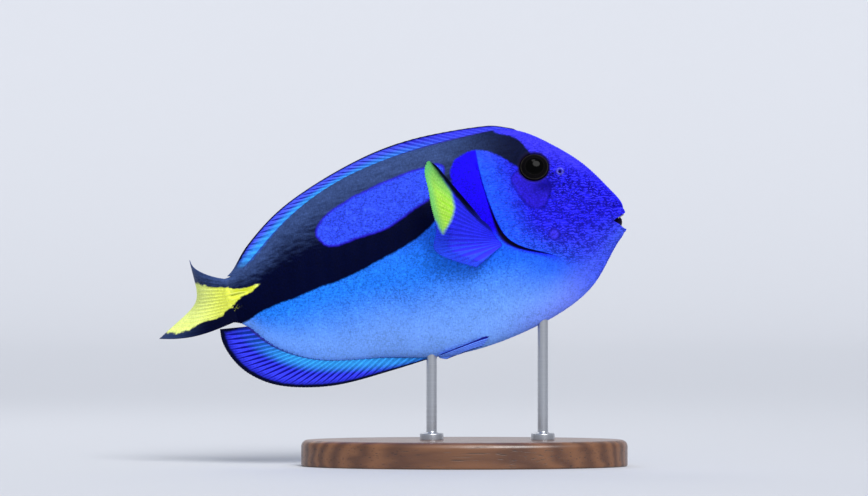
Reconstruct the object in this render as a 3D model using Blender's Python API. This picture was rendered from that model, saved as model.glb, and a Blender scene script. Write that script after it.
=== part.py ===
"""A regal blue tang (Paracanthurus hepatus) as a still, life-size display model on a stand.

The fish is laid out in its own frame, in millimetres: s runs from the snout to the tail, y to the
fish's left and z to its back. Its meshes hold (-s, y, z) in metres, and an empty tips the whole fish
head-up over the stand. The origin is the middle of the foot of the stand.
"""

import math

import bmesh
import bpy
import numpy as np
from mathutils import Matrix, Vector

MM = 0.001
GAP = 0.3  # clearance between neighbouring solids

# Where the fish hangs over the stand, and how it holds its body
BODY_LENGTH = 155.0  # from the snout to the root of the tail fin
HEAD_UP = math.radians(12)
SNOUT_X, SNOUT_Z = 62.0, 95.0
BEND_START = 120.0
TAIL_SWING = math.radians(10)  # the tail's root turns this far to the fish's left

# Side outline of the body as (s, z), without its fins, and its half width as (s, y)
BACK = (
    (0, -0.8), (0.9, 5.2), (4.5, 11.7), (12, 22.6), (23, 33.1), (36, 41.2), (50, 42.4),
    (75, 41.3), (95, 38.5), (115, 32.1), (133, 21.4), (146, 11.6), (153, 8.8), (158, 8.8),
)
BELLY = (
    (0, -0.8), (1.4, -5.4), (5.5, -9.2), (10, -14.3), (16, -21.2), (24, -27.0), (36, -32.0),
    (52, -36.0), (70, -38.0), (86, -36.8), (100, -33.8), (115, -31.7), (128, -28.6),
    (138, -23.5), (145, -17.4), (150, -11.4), (154, -8.9), (158, -8.7),
)
HALF_WIDTH = (
    (0, 0), (0.9, 2.4), (4, 3.9), (10, 5.8), (20, 8.2), (32, 10.4), (45, 11.9), (60, 12.3),
    (80, 11.3), (100, 9.0), (120, 6.4), (135, 4.5), (146, 3.2), (154, 2.5), (158, 2.3),
)
KEEL = 0.25  # how much the flanks draw in towards the back and the belly

# The gill opening as (level, s), where level is -1 at the belly and 1 at the back
GILL_EDGE = (
    (-1, 24), (-0.75, 25), (-0.5, 27.5), (-0.37, 31), (-0.25, 38.5), (-0.1, 45.5), (0.05, 48.5),
    (0.25, 50.2), (0.6, 51.6), (1, 51),
)
GILL_LIFT, GILL_LIFT_REACH = 0.7, 6.0  # the cover's rim stands proud of the trunk
TRUNK_END = 128.0

HALF_RING = 20  # steps from the belly to the back on each flank
HEAD_STATIONS, TRUNK_STATIONS, STEM_STATIONS = 20, 12, 6

# Mouth
MOUTH_CORNER = (7.1, -1.0)
MOUTH_FRONT_TOP, MOUTH_FRONT_BOTTOM = 0.9, -2.6
UPPER_LIP_Z, LOWER_LIP_Z = 2.1, -3.7
LIP_RADIUS, LIP_CORNER_RADIUS = 1.25, 0.55
LIP_STEPS = 12
TEETH_PER_JAW = 8
TOOTH_WIDTH, TOOTH_LENGTH, TOOTH_THICKNESS = 0.62, 1.9, 0.4
TOOTH_TIP = (0.5, 0.8)  # the share of its thickness and of its width that a tooth keeps at its tip
TEETH_SPREAD = 0.5  # the outer teeth stand this share of the way to the corners
TEETH_INSET = 0.5  # the teeth stand this far behind the lip's line
OUTER_TOOTH_SHORTER = 0.12

# Eye, an oval lens set in a socket, and nostrils
EYE_S, EYE_Z = 31.0, 25.5
EYE_RADII = (5.7, 5.3, 2.8)  # along the head, across it and in depth
EYE_DEPTH = 1.0  # the eye's middle lies this far under the skin
EYE_AXIS = Vector((0.12, 0.96, 0.25)).normalized()  # forwards, sideways and up
NOSTRILS = ((21.7, 21.9, 0.85), (24.6, 21.7, 0.6))
NOSTRIL_RIM = 0.3

# Fins: counts of rays, and thickness of the membrane and of a ray where it leaves the body
DORSAL_RAYS, ANAL_RAYS, CAUDAL_RAYS, PECTORAL_RAYS, PELVIC_RAYS = 28, 22, 17, 16, 4
MEMBRANE = 0.5
RAY_HEIGHT = 0.45
MEDIAN_ROOT, CAUDAL_ROOT, PECTORAL_ROOT_THICKNESS, PELVIC_ROOT_THICKNESS = 1.1, 3.6, 1.2, 0.8

DORSAL_START, DORSAL_END = 39.0, 148.0
DORSAL_EDGE = (
    (39.0, 42.7), (42, 43.9), (48, 44.9), (60, 45.6), (75, 45.5), (90, 43.5), (104, 39.8),
    (118, 34.8), (132, 27.9), (142, 20.8), (148, 15.2), (153, 10.9),
)
DORSAL_FOLD = ((0, 3), (0.08, 8), (0.2, 9.5), (0.85, 9.5), (1, 5))  # how far a ray lies back

ANAL_START, ANAL_END = 86.7, 149.3
ANAL_EDGE = (
    (0, 91, -38.1), (0.1, 101.5, -38.9), (0.3, 118, -40), (0.5, 134, -38.2), (0.65, 146.5, -33.9),
    (0.75, 153.5, -28.8), (0.85, 158.6, -21.9), (0.95, 161.1, -14.9), (1, 161.3, -11.4),
)

# Tail fin as (share of its height, value): how long its rays are, and how many degrees each has
# turned to the fish's left and upwards by its tip
CAUDAL_ROOT_LOW, CAUDAL_ROOT_HIGH = -8.5, 8.5
CAUDAL_RAY_LENGTH = ((0, 32), (0.25, 23.5), (0.5, 18.5), (0.75, 18), (1, 25))
CAUDAL_SWING = ((0, 30), (0.25, 58), (0.5, 78), (0.75, 81), (1, 80))
CAUDAL_RISE = ((0, -2), (0.25, 7), (0.5, 16), (0.75, 33), (1, 50))

# Pectoral fin from its leading ray down, as (share, s, z), and how far its edge stands out
PECTORAL_ROOT = ((0, 53.2, 7.4), (0.5, 51.7, 3.0), (1, 49.8, -1.4))
PECTORAL_EDGE = (
    (0, 67.3, 33.4), (0.06, 69.6, 35.6), (0.13, 71.8, 33.4), (0.25, 72.2, 26.7), (0.4, 72.4, 18.9),
    (0.55, 72.2, 12.1), (0.68, 73.5, 7), (0.8, 74.5, 2.3), (0.9, 69.5, -2.2), (1, 60.3, -7.2),
)
PECTORAL_OUT = ((0, 18), (0.5, 13), (1, 5.5))
PECTORAL_FOOT = (1.2, -0.45)  # from the middle of the root to its rear edge

PELVIC_ROOT = ((0, 61.5, -33.4), (0.5, 63, -35.2), (1, 64.8, -36.6))
PELVIC_EDGE = ((0, 80.6, -36.6), (0.5, 81.2, -37.8), (1, 78.6, -38.9))
PELVIC_OUT = 1.2
PELVIC_FOOT = (0.8, 0)

# Folded spine on each side of the tail's stem
SPINE_S, SPINE_Z = 147.5, 1.6
SPINE_RADII = (4.4, 0.75, 0.75)

# Stand
BASE_LENGTH, BASE_WIDTH, BASE_HEIGHT = 124.0, 62.0, 10.0
BASE_EDGE, BASE_FOOT_CHAMFER = 2.5, 0.8  # the rounded top edge and the cut under the foot
BASE_EDGE_STEPS = 3
BASE_SIDES = 48
ROD_RADIUS, COLLAR_RADIUS, COLLAR_HEIGHT, COLLAR_CHAMFER = 2.0, 4.5, 2.5, 0.6
ROD_SIDES = 20
ROD_PLACES = {"front": 40.0, "rear": 84.0}


def smooth_curve(points):
    """The natural cubic spline through rows of (place, value, ...), as a function of the place."""
    rows = np.array(points, float)
    places, values = rows[:, 0], rows[:, 1:]
    steps = np.diff(places)
    slopes = np.diff(values, axis=0) / steps[:, None]
    system = np.eye(len(places))
    right = np.zeros_like(values)
    for i in range(1, len(places) - 1):
        system[i, i - 1 : i + 2] = steps[i - 1], 2 * (steps[i - 1] + steps[i]), steps[i]
        right[i] = 6 * (slopes[i] - slopes[i - 1])
    bends = np.linalg.solve(system, right)

    def curve(place):
        place = np.clip(np.asarray(place, float), places[0], places[-1])
        i = np.clip(np.searchsorted(places, place) - 1, 0, len(steps) - 1)
        step = steps[i][..., None]
        a = (places[i + 1] - place)[..., None] / step
        b = 1 - a
        found = a * values[i] + b * values[i + 1]
        found += step**2 / 6 * ((a**3 - a) * bends[i] + (b**3 - b) * bends[i + 1])
        return found[..., 0] if values.shape[1] == 1 else found

    return curve


def station_curve(points):
    """A spline along the body, laid over the square root of s so that the snout comes out round."""
    curve = smooth_curve([(math.sqrt(s), value) for s, value in points])
    return lambda s: curve(np.sqrt(np.maximum(s, 0)))


back = station_curve(BACK)
belly = station_curve(BELLY)
widest = station_curve(HALF_WIDTH)
gill_edge = smooth_curve(GILL_EDGE)


def half_width(s, z):
    """How far the flank lies from the fish's middle plane, and 0 above the back and under the belly."""
    middle, height = (back(s) + belly(s)) / 2, (back(s) - belly(s)) / 2
    level = np.clip((z - middle) / np.maximum(height, 1e-6), -1, 1)
    return widest(s) * np.sqrt(1 - level**2) * (1 - KEEL * level**2)


def bent(points):
    """Fish points, with the rear of the body swung to the left along an arc."""
    s, y, z = np.moveaxis(points, -1, 0)
    radius = (BODY_LENGTH - BEND_START) / TAIL_SWING
    turn = np.clip((s - BEND_START) / radius, 0, TAIL_SWING)
    beyond = s - BEND_START - radius * turn
    new_s = BEND_START + (radius - y) * np.sin(turn) + beyond * np.cos(turn)
    new_y = radius - (radius - y) * np.cos(turn) + beyond * np.sin(turn)
    return np.stack([new_s, new_y, z], axis=-1)


def fish_place(x, z):
    """The (s, z) of the fish at a point of the stand's frame."""
    ahead, up = x - SNOUT_X, z - SNOUT_Z
    s = -ahead * math.cos(HEAD_UP) - up * math.sin(HEAD_UP)
    return s, up * math.cos(HEAD_UP) - ahead * math.sin(HEAD_UP)


def paint(obj, colour, roughness, metallic=0.0):
    material = bpy.data.materials.new(obj.name)
    material.use_nodes = True
    shader = material.node_tree.nodes["Principled BSDF"]
    shader.inputs["Base Color"].default_value = (*colour, 1)
    shader.inputs["Roughness"].default_value = roughness
    shader.inputs["Metallic"].default_value = metallic
    obj.data.materials.clear()
    obj.data.materials.append(material)


def mesh_object(name, bm):
    mesh = bpy.data.meshes.new(name)
    bmesh.ops.recalc_face_normals(bm, faces=bm.faces)
    bm.to_mesh(mesh)
    bm.free()
    obj = bpy.data.objects.new(name, mesh)
    bpy.context.collection.objects.link(obj)
    return obj


def ring_solid(name, rings, mirror_of_first=0):
    """The closed solid through rings of points in metres.

    A ring's second half mirrors its first, and mirror_of_first is the place that mirrors place 0.
    Quads of the second half are split the other way, so that both faces of a thin solid get the same
    triangles. An end ring that hasn't shrunk to a point is closed by strips between mirrored points.
    """
    count, size = rings.shape[:2]
    ring, place = np.meshgrid(np.arange(count - 1), np.arange(size), indexing="ij")
    a = ring * size + place
    d = ring * size + (place + 1) % size
    b, c = a + size, d + size
    mirrored = (place >= size // 2)[..., None]
    first = np.where(mirrored, np.stack([a, b, d], -1), np.stack([a, b, c], -1))
    second = np.where(mirrored, np.stack([b, c, d], -1), np.stack([a, c, d], -1))
    triangles = [first.reshape(-1, 3), second.reshape(-1, 3)]
    for end in (0, count - 1):
        if np.ptp(rings[end], axis=0).max() == 0:
            continue
        a = np.arange((size + mirror_of_first) // 2)
        b, c, d = a + 1, (mirror_of_first - a - 1) % size, (mirror_of_first - a) % size
        strips = np.concatenate([np.stack([a, b, c], -1), np.stack([a, c, d], -1)])
        whole = (strips[:, 0] != strips[:, 2]) & (strips[:, 1] != strips[:, 2])
        triangles.append(strips[whole] + end * size)
    mesh = bpy.data.meshes.new(name)
    mesh.from_pydata(rings.reshape(-1, 3).tolist(), [], np.concatenate(triangles).tolist())
    bm = bmesh.new()
    bm.from_mesh(mesh)
    bpy.data.meshes.remove(mesh)
    bmesh.ops.remove_doubles(bm, verts=bm.verts, dist=GAP * MM / 100)
    return mesh_object(name, bm)


def fish_metres(points):
    """Points (s, y, z) of the fish in millimetres as (x, y, z) of its meshes in metres."""
    return bent(points) * (-MM, MM, MM)


def combine(body, pieces, operation):
    """Joins closed pieces to a body or cuts them from it, and keeps its largest closed surface."""
    group = bpy.data.collections.new(body.name)
    for piece in pieces:
        group.objects.link(piece)
    modifier = body.modifiers.new("pieces", "BOOLEAN")
    modifier.operand_type = "COLLECTION"
    modifier.collection = group
    modifier.operation = operation
    graph = bpy.context.evaluated_depsgraph_get()
    result = bpy.data.meshes.new_from_object(body.evaluated_get(graph))
    body.modifiers.clear()
    body.data = result
    for piece in pieces:
        bpy.data.objects.remove(piece)
    bpy.data.collections.remove(group)
    keep_largest_surface(body)


def keep_largest_surface(body):
    bm = bmesh.new()
    bm.from_mesh(body.data)
    unseen, surfaces = set(bm.verts), []
    while unseen:
        found, edge = set(), {unseen.pop()}
        while edge:
            found |= edge
            edge = {link.other_vert(vert) for vert in edge for link in vert.link_edges} - found
        unseen -= found
        surfaces.append(found)
    surfaces.sort(key=len)
    scraps = [vert for surface in surfaces[:-1] for vert in surface]
    bmesh.ops.delete(bm, geom=scraps, context="VERTS")
    bm.to_mesh(body.data)
    bm.free()


def flank_rings(starts, ends, shares, lift=0.0):
    """Rings round the body. Each level's stations run from its start to its end in the given shares."""
    levels = np.sin(np.linspace(-math.pi / 2, math.pi / 2, HALF_RING + 1))
    starts, ends = np.broadcast_to(starts, levels.shape), np.broadcast_to(ends, levels.shape)
    s = starts + (ends - starts) * np.asarray(shares)[:, None]
    z = (back(s) + belly(s)) / 2 + levels * (back(s) - belly(s)) / 2
    rim = np.exp(-(((ends - s) / GILL_LIFT_REACH) ** 2)) * (1 - levels**2)
    y = widest(s) * np.sqrt(1 - levels**2) * (1 - KEEL * levels**2) + lift * rim
    right, left = np.stack([s, -y, z], -1), np.stack([s, y, z], -1)
    return np.concatenate([right, left[:, -2:0:-1]], axis=1)


def gill_line():
    """The gill opening's station at each level of a ring, and the gap across it measured along s."""
    levels = np.sin(np.linspace(-math.pi / 2, math.pi / 2, HALF_RING + 1))
    s = gill_edge(levels)
    z = (back(s) + belly(s)) / 2 + levels * (back(s) - belly(s)) / 2
    return s, GAP * np.sqrt(1 + np.gradient(s, z) ** 2)


def mouth_wedge():
    """The open mouth as a wedge from in front of the lips to the corner of the mouth."""
    bm = bmesh.new()
    corner_s, corner_z = MOUTH_CORNER
    front = -2 * LIP_RADIUS
    outline = ((front, MOUTH_FRONT_TOP), (front, MOUTH_FRONT_BOTTOM), (corner_s, corner_z))
    reach = 2 * corner_s
    bm.faces.new([bm.verts.new((-s * MM, -reach * MM, z * MM)) for s, z in outline])
    sides = bmesh.ops.extrude_face_region(bm, geom=bm.faces[:])["geom"]
    moved = [item for item in sides if isinstance(item, bmesh.types.BMVert)]
    bmesh.ops.translate(bm, verts=moved, vec=(0, 2 * reach * MM, 0))
    return mesh_object("mouth_wedge", bm)


def lip_path(front_z, edge, shares):
    """Points of a lip round the snout: share 0 is in front, and -1 and 1 are the mouth's corners."""
    corner_s, corner_z = MOUTH_CORNER
    stations = np.linspace(0, corner_s, 200)
    heights = edge(stations)
    order = np.argsort(heights)
    z = front_z + (corner_z - front_z) * shares**2
    front_s = np.interp(z, heights[order], stations[order])
    s = front_s + (corner_s - front_s) * shares**2
    y = np.sign(shares) * half_width(s, z)
    return np.stack([s, y, z], -1)


def tube(name, path, radii):
    """A closed tube through points in metres, tapered by its radii."""
    curve = bpy.data.curves.new(name, "CURVE")
    curve.dimensions = "3D"
    curve.bevel_depth = 1.0
    curve.bevel_resolution = 1
    curve.use_fill_caps = True
    spline = curve.splines.new("POLY")
    spline.points.add(len(path) - 1)
    for point, place, radius in zip(spline.points, path, radii):
        point.co = (*place, 1)
        point.radius = radius
    guide = bpy.data.objects.new(name, curve)
    bpy.context.collection.objects.link(guide)
    graph = bpy.context.evaluated_depsgraph_get()
    mesh = bpy.data.meshes.new_from_object(guide.evaluated_get(graph))
    bm = bmesh.new()
    bm.from_mesh(mesh)
    bpy.data.objects.remove(guide)
    bmesh.ops.remove_doubles(bm, verts=bm.verts, dist=GAP * MM / 100)
    return mesh_object(name, bm)


def jaw(name, front_z, edge, bite):
    """A lip with its row of flat teeth, which point up (bite 1) or down (bite -1)."""
    shares = np.linspace(-1, 1, LIP_STEPS + 1)
    path = fish_metres(lip_path(front_z, edge, shares))
    radii = LIP_CORNER_RADIUS + (LIP_RADIUS - LIP_CORNER_RADIUS) * (1 - shares**2)
    pieces = [tube(name + "_lip", path, radii * MM)]
    spread = np.linspace(-TEETH_SPREAD, TEETH_SPREAD, TEETH_PER_JAW)
    places = lip_path(front_z, edge, spread) * (1, 1 - TEETH_INSET / MOUTH_CORNER[0], 1)
    for number, (s, y, z) in enumerate(places):
        bm = bmesh.new()
        taper = 1.0 - OUTER_TOOTH_SHORTER * abs(spread[number]) / TEETH_SPREAD
        size = (TOOTH_THICKNESS, TOOTH_WIDTH, TOOTH_LENGTH * taper)
        bmesh.ops.create_cube(bm, size=1)
        bmesh.ops.scale(bm, verts=bm.verts, vec=[length * MM for length in size])
        tip = [vert for vert in bm.verts if vert.co.z * bite > 0]
        bmesh.ops.scale(bm, verts=tip, vec=(*TOOTH_TIP, 1))
        centre = MM * Vector((-s - TEETH_INSET, y, z + bite * TOOTH_LENGTH / 2))
        bmesh.ops.translate(bm, verts=bm.verts, vec=centre)
        pieces.append(mesh_object(f"{name}_tooth_{number}", bm))
    return pieces


def ellipsoid(name, radii, axes, centre, around=20, along=10):
    """An ellipsoid with its poles on the third axis. Radii are in millimetres, its place in metres."""
    bm = bmesh.new()
    bmesh.ops.create_uvsphere(bm, u_segments=around, v_segments=along, radius=1)
    size = Matrix.Diagonal([radius * MM for radius in radii]).to_4x4()
    turn = Matrix(axes).transposed().to_4x4()
    bm.transform(Matrix.Translation(centre) @ turn @ size)
    return mesh_object(name, bm)


def skin_point(s, z, side):
    """A point on the flank in metres, on the right with side -1 and on the left with side 1."""
    y = side * float(half_width(s, z))
    return Vector(fish_metres(np.array([s, y, z])).tolist())


def eye_shape(name, side, extra):
    """The eye, or with some extra radius its socket."""
    depth_axis = Vector((EYE_AXIS.x, side * EYE_AXIS.y, EYE_AXIS.z))
    along = (Vector((1, 0, 0)) - depth_axis * depth_axis.x).normalized()
    centre = skin_point(EYE_S, EYE_Z, side) - depth_axis * EYE_DEPTH * MM
    radii = [radius + extra for radius in EYE_RADII]
    axes = (along, depth_axis.cross(along), depth_axis)
    return ellipsoid(name, radii, axes, centre)


def make_head():
    rim, gap = gill_line()
    shares = np.linspace(0, 1, HEAD_STATIONS + 1) ** 2
    rings = flank_rings(0, rim - gap / 2, shares, GILL_LIFT)
    head = ring_solid("head", fish_metres(rings))
    upright = Matrix.Identity(3)
    cutters = [mouth_wedge()]
    rims = []
    for side in (-1, 1):
        cutters.append(eye_shape("socket", side, GAP))
        for s, z, radius in NOSTRILS:
            place = skin_point(s, z, side)
            for made, size in ((cutters, radius), (rims, radius + NOSTRIL_RIM)):
                made.append(ellipsoid("nostril", [size] * 3, upright, place, around=10, along=6))
    combine(head, rims, "UNION")
    combine(head, cutters, "DIFFERENCE")
    jaws = jaw("upper", UPPER_LIP_Z, back, -1) + jaw("lower", LOWER_LIP_Z, belly, 1)
    combine(head, jaws, "UNION")
    paint(head, (0.05, 0.06, 0.85), 0.45)
    return head


def make_trunk():
    rim, gap = gill_line()
    shares = np.linspace(0, 1, TRUNK_STATIONS + 1)
    rings = flank_rings(rim + gap / 2, TRUNK_END, shares)
    trunk = ring_solid("trunk", fish_metres(rings))
    paint(trunk, (0.05, 0.2, 0.9), 0.45)
    return trunk


def make_tail_stem():
    shares = np.linspace(0, 1, STEM_STATIONS + 1)
    rings = flank_rings(TRUNK_END + GAP, BODY_LENGTH, shares)
    stem = ring_solid("tail_stem", fish_metres(rings))
    upright = Matrix.Identity(3)
    spines = []
    for side in (-1, 1):
        place = skin_point(SPINE_S, SPINE_Z, side)
        spines.append(ellipsoid("spine", SPINE_RADII, upright, place, around=8, along=6))
    combine(stem, spines, "UNION")
    paint(stem, (0.01, 0.012, 0.04), 0.4)
    return stem


def ray_columns(rays):
    """Shares across a fin and, for each, 1 on a ray or 0 on the membrane between two rays."""
    count = 2 * rays - 1
    return np.linspace(0, 1, count), (np.arange(count) % 2 == 0).astype(float)


def fin(name, rays, rows, membrane_at, roots, root_thickness):
    """A fin as a thin closed sheet with its rays raised on both faces.

    membrane_at(u, v) is the sheet's middle at share u across the rays and share v along them, and
    roots(u) gives both edges of its root face. Thickness tapers from the root to the margin.
    """
    u, on_ray = ray_columns(rays)
    v = np.linspace(0, 1, rows + 1)
    middle = membrane_at(*np.meshgrid(u, v, indexing="ij"))
    across = np.gradient(middle, axis=0)
    along = np.gradient(middle, axis=1)
    normal = np.cross(across, along)
    normal /= np.linalg.norm(normal, axis=-1, keepdims=True)
    flesh = (root_thickness - MEMBRANE) * (1 - v) ** 4
    rib = RAY_HEIGHT * on_ray[:, None] * (1 - 0.85 * v)
    half = ((MEMBRANE + flesh + rib) / 2)[..., None]
    faces = [middle + normal * half, middle - normal * half]
    edges = roots(u)
    if np.sum((edges[0] - edges[1]) * normal[:, 0]) < 0:
        edges = edges[::-1]
    for face, edge in zip(faces, edges):
        face[:, 0] = edge
    rings = np.concatenate([faces[0], faces[1][:, ::-1]], axis=1)
    return ring_solid(name, fish_metres(rings), mirror_of_first=-1)


def straight_rays(root, edge):
    """Membrane points on straight rays from root(u) to edge(u)."""

    def membrane_at(u, v):
        start, end = root(u), edge(u)
        return start + (end - start) * v[..., None]

    return membrane_at


def in_middle_plane(s, z):
    return np.stack([s, np.zeros_like(s), z], -1)


def middle_roots(root, thickness):
    """Both edges of the root face of a fin that stands in the middle plane."""
    half = np.array([0, thickness / 2, 0])
    return lambda u: (root(u) - half, root(u) + half)


def make_dorsal_fin():
    edge_z, fold = smooth_curve(DORSAL_EDGE), smooth_curve(DORSAL_FOLD)

    def root(u):
        s = DORSAL_START + (DORSAL_END - DORSAL_START) * u
        return in_middle_plane(s, back(s) + GAP)

    def edge(u):
        s = DORSAL_START + (DORSAL_END - DORSAL_START) * u + fold(u)
        return in_middle_plane(s, edge_z(s))

    roots = middle_roots(root, MEDIAN_ROOT)
    obj = fin("dorsal_fin", DORSAL_RAYS, 3, straight_rays(root, edge), roots, MEDIAN_ROOT)
    paint(obj, (0.04, 0.1, 0.8), 0.4)
    return obj


def make_anal_fin():
    edge_at = smooth_curve(ANAL_EDGE)

    def root(u):
        s = ANAL_START + (ANAL_END - ANAL_START) * u
        return in_middle_plane(s, belly(s) - GAP)

    def edge(u):
        s, z = np.moveaxis(edge_at(u), -1, 0)
        return in_middle_plane(s, z)

    roots = middle_roots(root, MEDIAN_ROOT)
    obj = fin("anal_fin", ANAL_RAYS, 5, straight_rays(root, edge), roots, MEDIAN_ROOT)
    paint(obj, (0.04, 0.1, 0.8), 0.4)
    return obj


def mean_cosine(turn):
    """The mean of the cosine over angles from 0 to a turn."""
    return np.sinc(turn / math.pi)


def mean_sine(turn):
    """The mean of the sine over angles from 0 to a turn."""
    return turn / 2 * np.sinc(turn / (2 * math.pi)) ** 2


def make_caudal_fin():
    length = smooth_curve(CAUDAL_RAY_LENGTH)
    swing, rise = smooth_curve(CAUDAL_SWING), smooth_curve(CAUDAL_RISE)

    def root(u):
        z = CAUDAL_ROOT_LOW + (CAUDAL_ROOT_HIGH - CAUDAL_ROOT_LOW) * u
        return in_middle_plane(np.full_like(u, BODY_LENGTH + GAP), z)

    def membrane_at(u, v):
        """Points on rays that start straight back and turn left and up evenly with v."""
        left, up = np.radians(swing(u)) * v, np.radians(rise(u)) * v
        backwards = (mean_cosine(left + up) + mean_cosine(left - up)) / 2
        sideways = (mean_sine(left + up) + mean_sine(left - up)) / 2
        reach = length(u) * v
        return root(u) + reach[..., None] * np.stack([backwards, sideways, mean_sine(up)], -1)

    roots = middle_roots(root, CAUDAL_ROOT)
    obj = fin("caudal_fin", CAUDAL_RAYS, 7, membrane_at, roots, CAUDAL_ROOT)
    paint(obj, (0.9, 0.85, 0.03), 0.4)
    return obj


def make_pectoral_fin(side, name):
    root_at, edge_at = smooth_curve(PECTORAL_ROOT), smooth_curve(PECTORAL_EDGE)
    out = smooth_curve(PECTORAL_OUT)

    def on_skin(places):
        s, z = np.moveaxis(places, -1, 0)
        return np.stack([s, side * (half_width(s, z) + GAP), z], -1)

    def membrane_at(u, v):
        start = on_skin(root_at(u))
        end = np.insert(edge_at(u), 1, start[..., 1], axis=-1)
        places = start + (end - start) * v[..., None]
        places[..., 1] += side * out(u) * (1.25 * v - 0.25 * v**2)
        return places

    def roots(u):
        return on_skin(root_at(u) - PECTORAL_FOOT), on_skin(root_at(u) + PECTORAL_FOOT)

    obj = fin(name, PECTORAL_RAYS, 6, membrane_at, roots, PECTORAL_ROOT_THICKNESS)
    paint(obj, (0.1, 0.2, 0.85), 0.4)
    return obj


def make_pelvic_fin(side, name):
    root_at, edge_at = smooth_curve(PELVIC_ROOT), smooth_curve(PELVIC_EDGE)

    def on_skin(places, lift):
        s, z = np.moveaxis(places, -1, 0)
        return np.stack([s, side * (half_width(s, z) + lift), z], -1)

    def membrane_at(u, v):
        places = root_at(u) + (edge_at(u) - root_at(u)) * v[..., None]
        return on_skin(places, GAP + MEMBRANE + PELVIC_OUT * v)

    def roots(u):
        return on_skin(root_at(u) - PELVIC_FOOT, GAP), on_skin(root_at(u) + PELVIC_FOOT, GAP)

    obj = fin(name, PELVIC_RAYS, 5, membrane_at, roots, PELVIC_ROOT_THICKNESS)
    paint(obj, (0.05, 0.12, 0.8), 0.4)
    return obj


def make_eye(side, name):
    eye = eye_shape(name, side, 0)
    paint(eye, (0.015, 0.01, 0.008), 0.08)
    return eye


def circle_rings(profile, sides, radius_x, radius_y, x=0.0):
    """Rings of an upright turned solid: profile rows hold the inset from its radii and the height."""
    angle = np.linspace(0, 2 * math.pi, sides, endpoint=False)
    inset, height = np.array(profile, float).T[:, :, None]
    ring_x = x + (radius_x - inset) * np.cos(angle)
    ring_y = (radius_y - inset) * np.sin(angle)
    return np.stack([ring_x, ring_y, np.broadcast_to(height, ring_x.shape)], -1)


def closed_rings(rings):
    """Rings with their two ends drawn in to the end rings' middles."""
    ends = [np.broadcast_to(ring.mean(axis=0), ring.shape)[None] for ring in (rings[0], rings[-1])]
    return np.concatenate([ends[0], rings, ends[1]])


def make_base():
    round_edge = [
        (BASE_EDGE * (1 - math.cos(turn)), BASE_HEIGHT - BASE_EDGE * (1 - math.sin(turn)))
        for turn in np.linspace(0, math.pi / 2, BASE_EDGE_STEPS + 1)
    ]
    profile = [(BASE_FOOT_CHAMFER, 0), (0, BASE_FOOT_CHAMFER), *round_edge]
    rings = circle_rings(profile, BASE_SIDES, BASE_LENGTH / 2, BASE_WIDTH / 2)
    base = ring_solid("stand_base", closed_rings(rings) * MM)
    paint(base, (0.16, 0.07, 0.03), 0.35)
    return base


def underside(x, y):
    """The height of the fish's belly over points of the stand, found by halving."""
    low, high = np.full_like(x, BASE_HEIGHT), np.full_like(x, SNOUT_Z)
    for _ in range(40):
        middle = (low + high) / 2
        inside = np.abs(y) < half_width(*fish_place(x, middle))
        low, high = np.where(inside, low, middle), np.where(inside, middle, high)
    return high


def make_rod(name, s):
    """A rod on a low collar, its top cut to the shape of the belly above it."""
    x = SNOUT_X - s * math.cos(HEAD_UP) - float(belly(s)) * math.sin(HEAD_UP)
    foot = BASE_HEIGHT + GAP
    slim = COLLAR_RADIUS - ROD_RADIUS
    top = foot + COLLAR_HEIGHT
    profile = [(0, foot), (0, top - COLLAR_CHAMFER), (COLLAR_CHAMFER, top)]
    profile += [(slim, top), (slim, SNOUT_Z)]
    rings = closed_rings(circle_rings(profile, ROD_SIDES, COLLAR_RADIUS, COLLAR_RADIUS, x))
    rings[-2:, :, 2] = underside(rings[-2:, :, 0], rings[-2:, :, 1]) - GAP
    rod = ring_solid(name, rings * MM)
    paint(rod, (0.55, 0.56, 0.58), 0.3, 1.0)
    return rod


def main():
    for obj in list(bpy.data.objects):
        bpy.data.objects.remove(obj)
    fish = [make_head(), make_trunk(), make_tail_stem(), make_dorsal_fin(), make_anal_fin()]
    fish.append(make_caudal_fin())
    for side, word in ((-1, "right"), (1, "left")):
        fish.append(make_eye(side, "eye_" + word))
        fish.append(make_pectoral_fin(side, "pectoral_fin_" + word))
        fish.append(make_pelvic_fin(side, "pelvic_fin_" + word))
    pose = bpy.data.objects.new("fish_pose", None)
    bpy.context.collection.objects.link(pose)
    pose.location = (SNOUT_X * MM, 0, SNOUT_Z * MM)
    pose.rotation_euler = (0, -HEAD_UP, 0)
    for obj in fish:
        obj.parent = pose
    stand = [make_base()]
    stand += [make_rod("stand_rod_" + word, s) for word, s in ROD_PLACES.items()]
    for obj in fish + stand:
        obj.data.shade_smooth()
        obj.data.set_sharp_from_angle(angle=math.radians(35))


main()
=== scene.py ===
"""Looks of a life-size regal blue tang display model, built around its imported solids.

The fish is laid out in its own frame, in millimetres: s runs from the snout to the tail, y to the
fish's left and z to its back. A ring round the body has an angle that starts under the belly, passes
the right flank at 0 and the back at a quarter turn, and comes down the left flank.
"""

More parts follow.
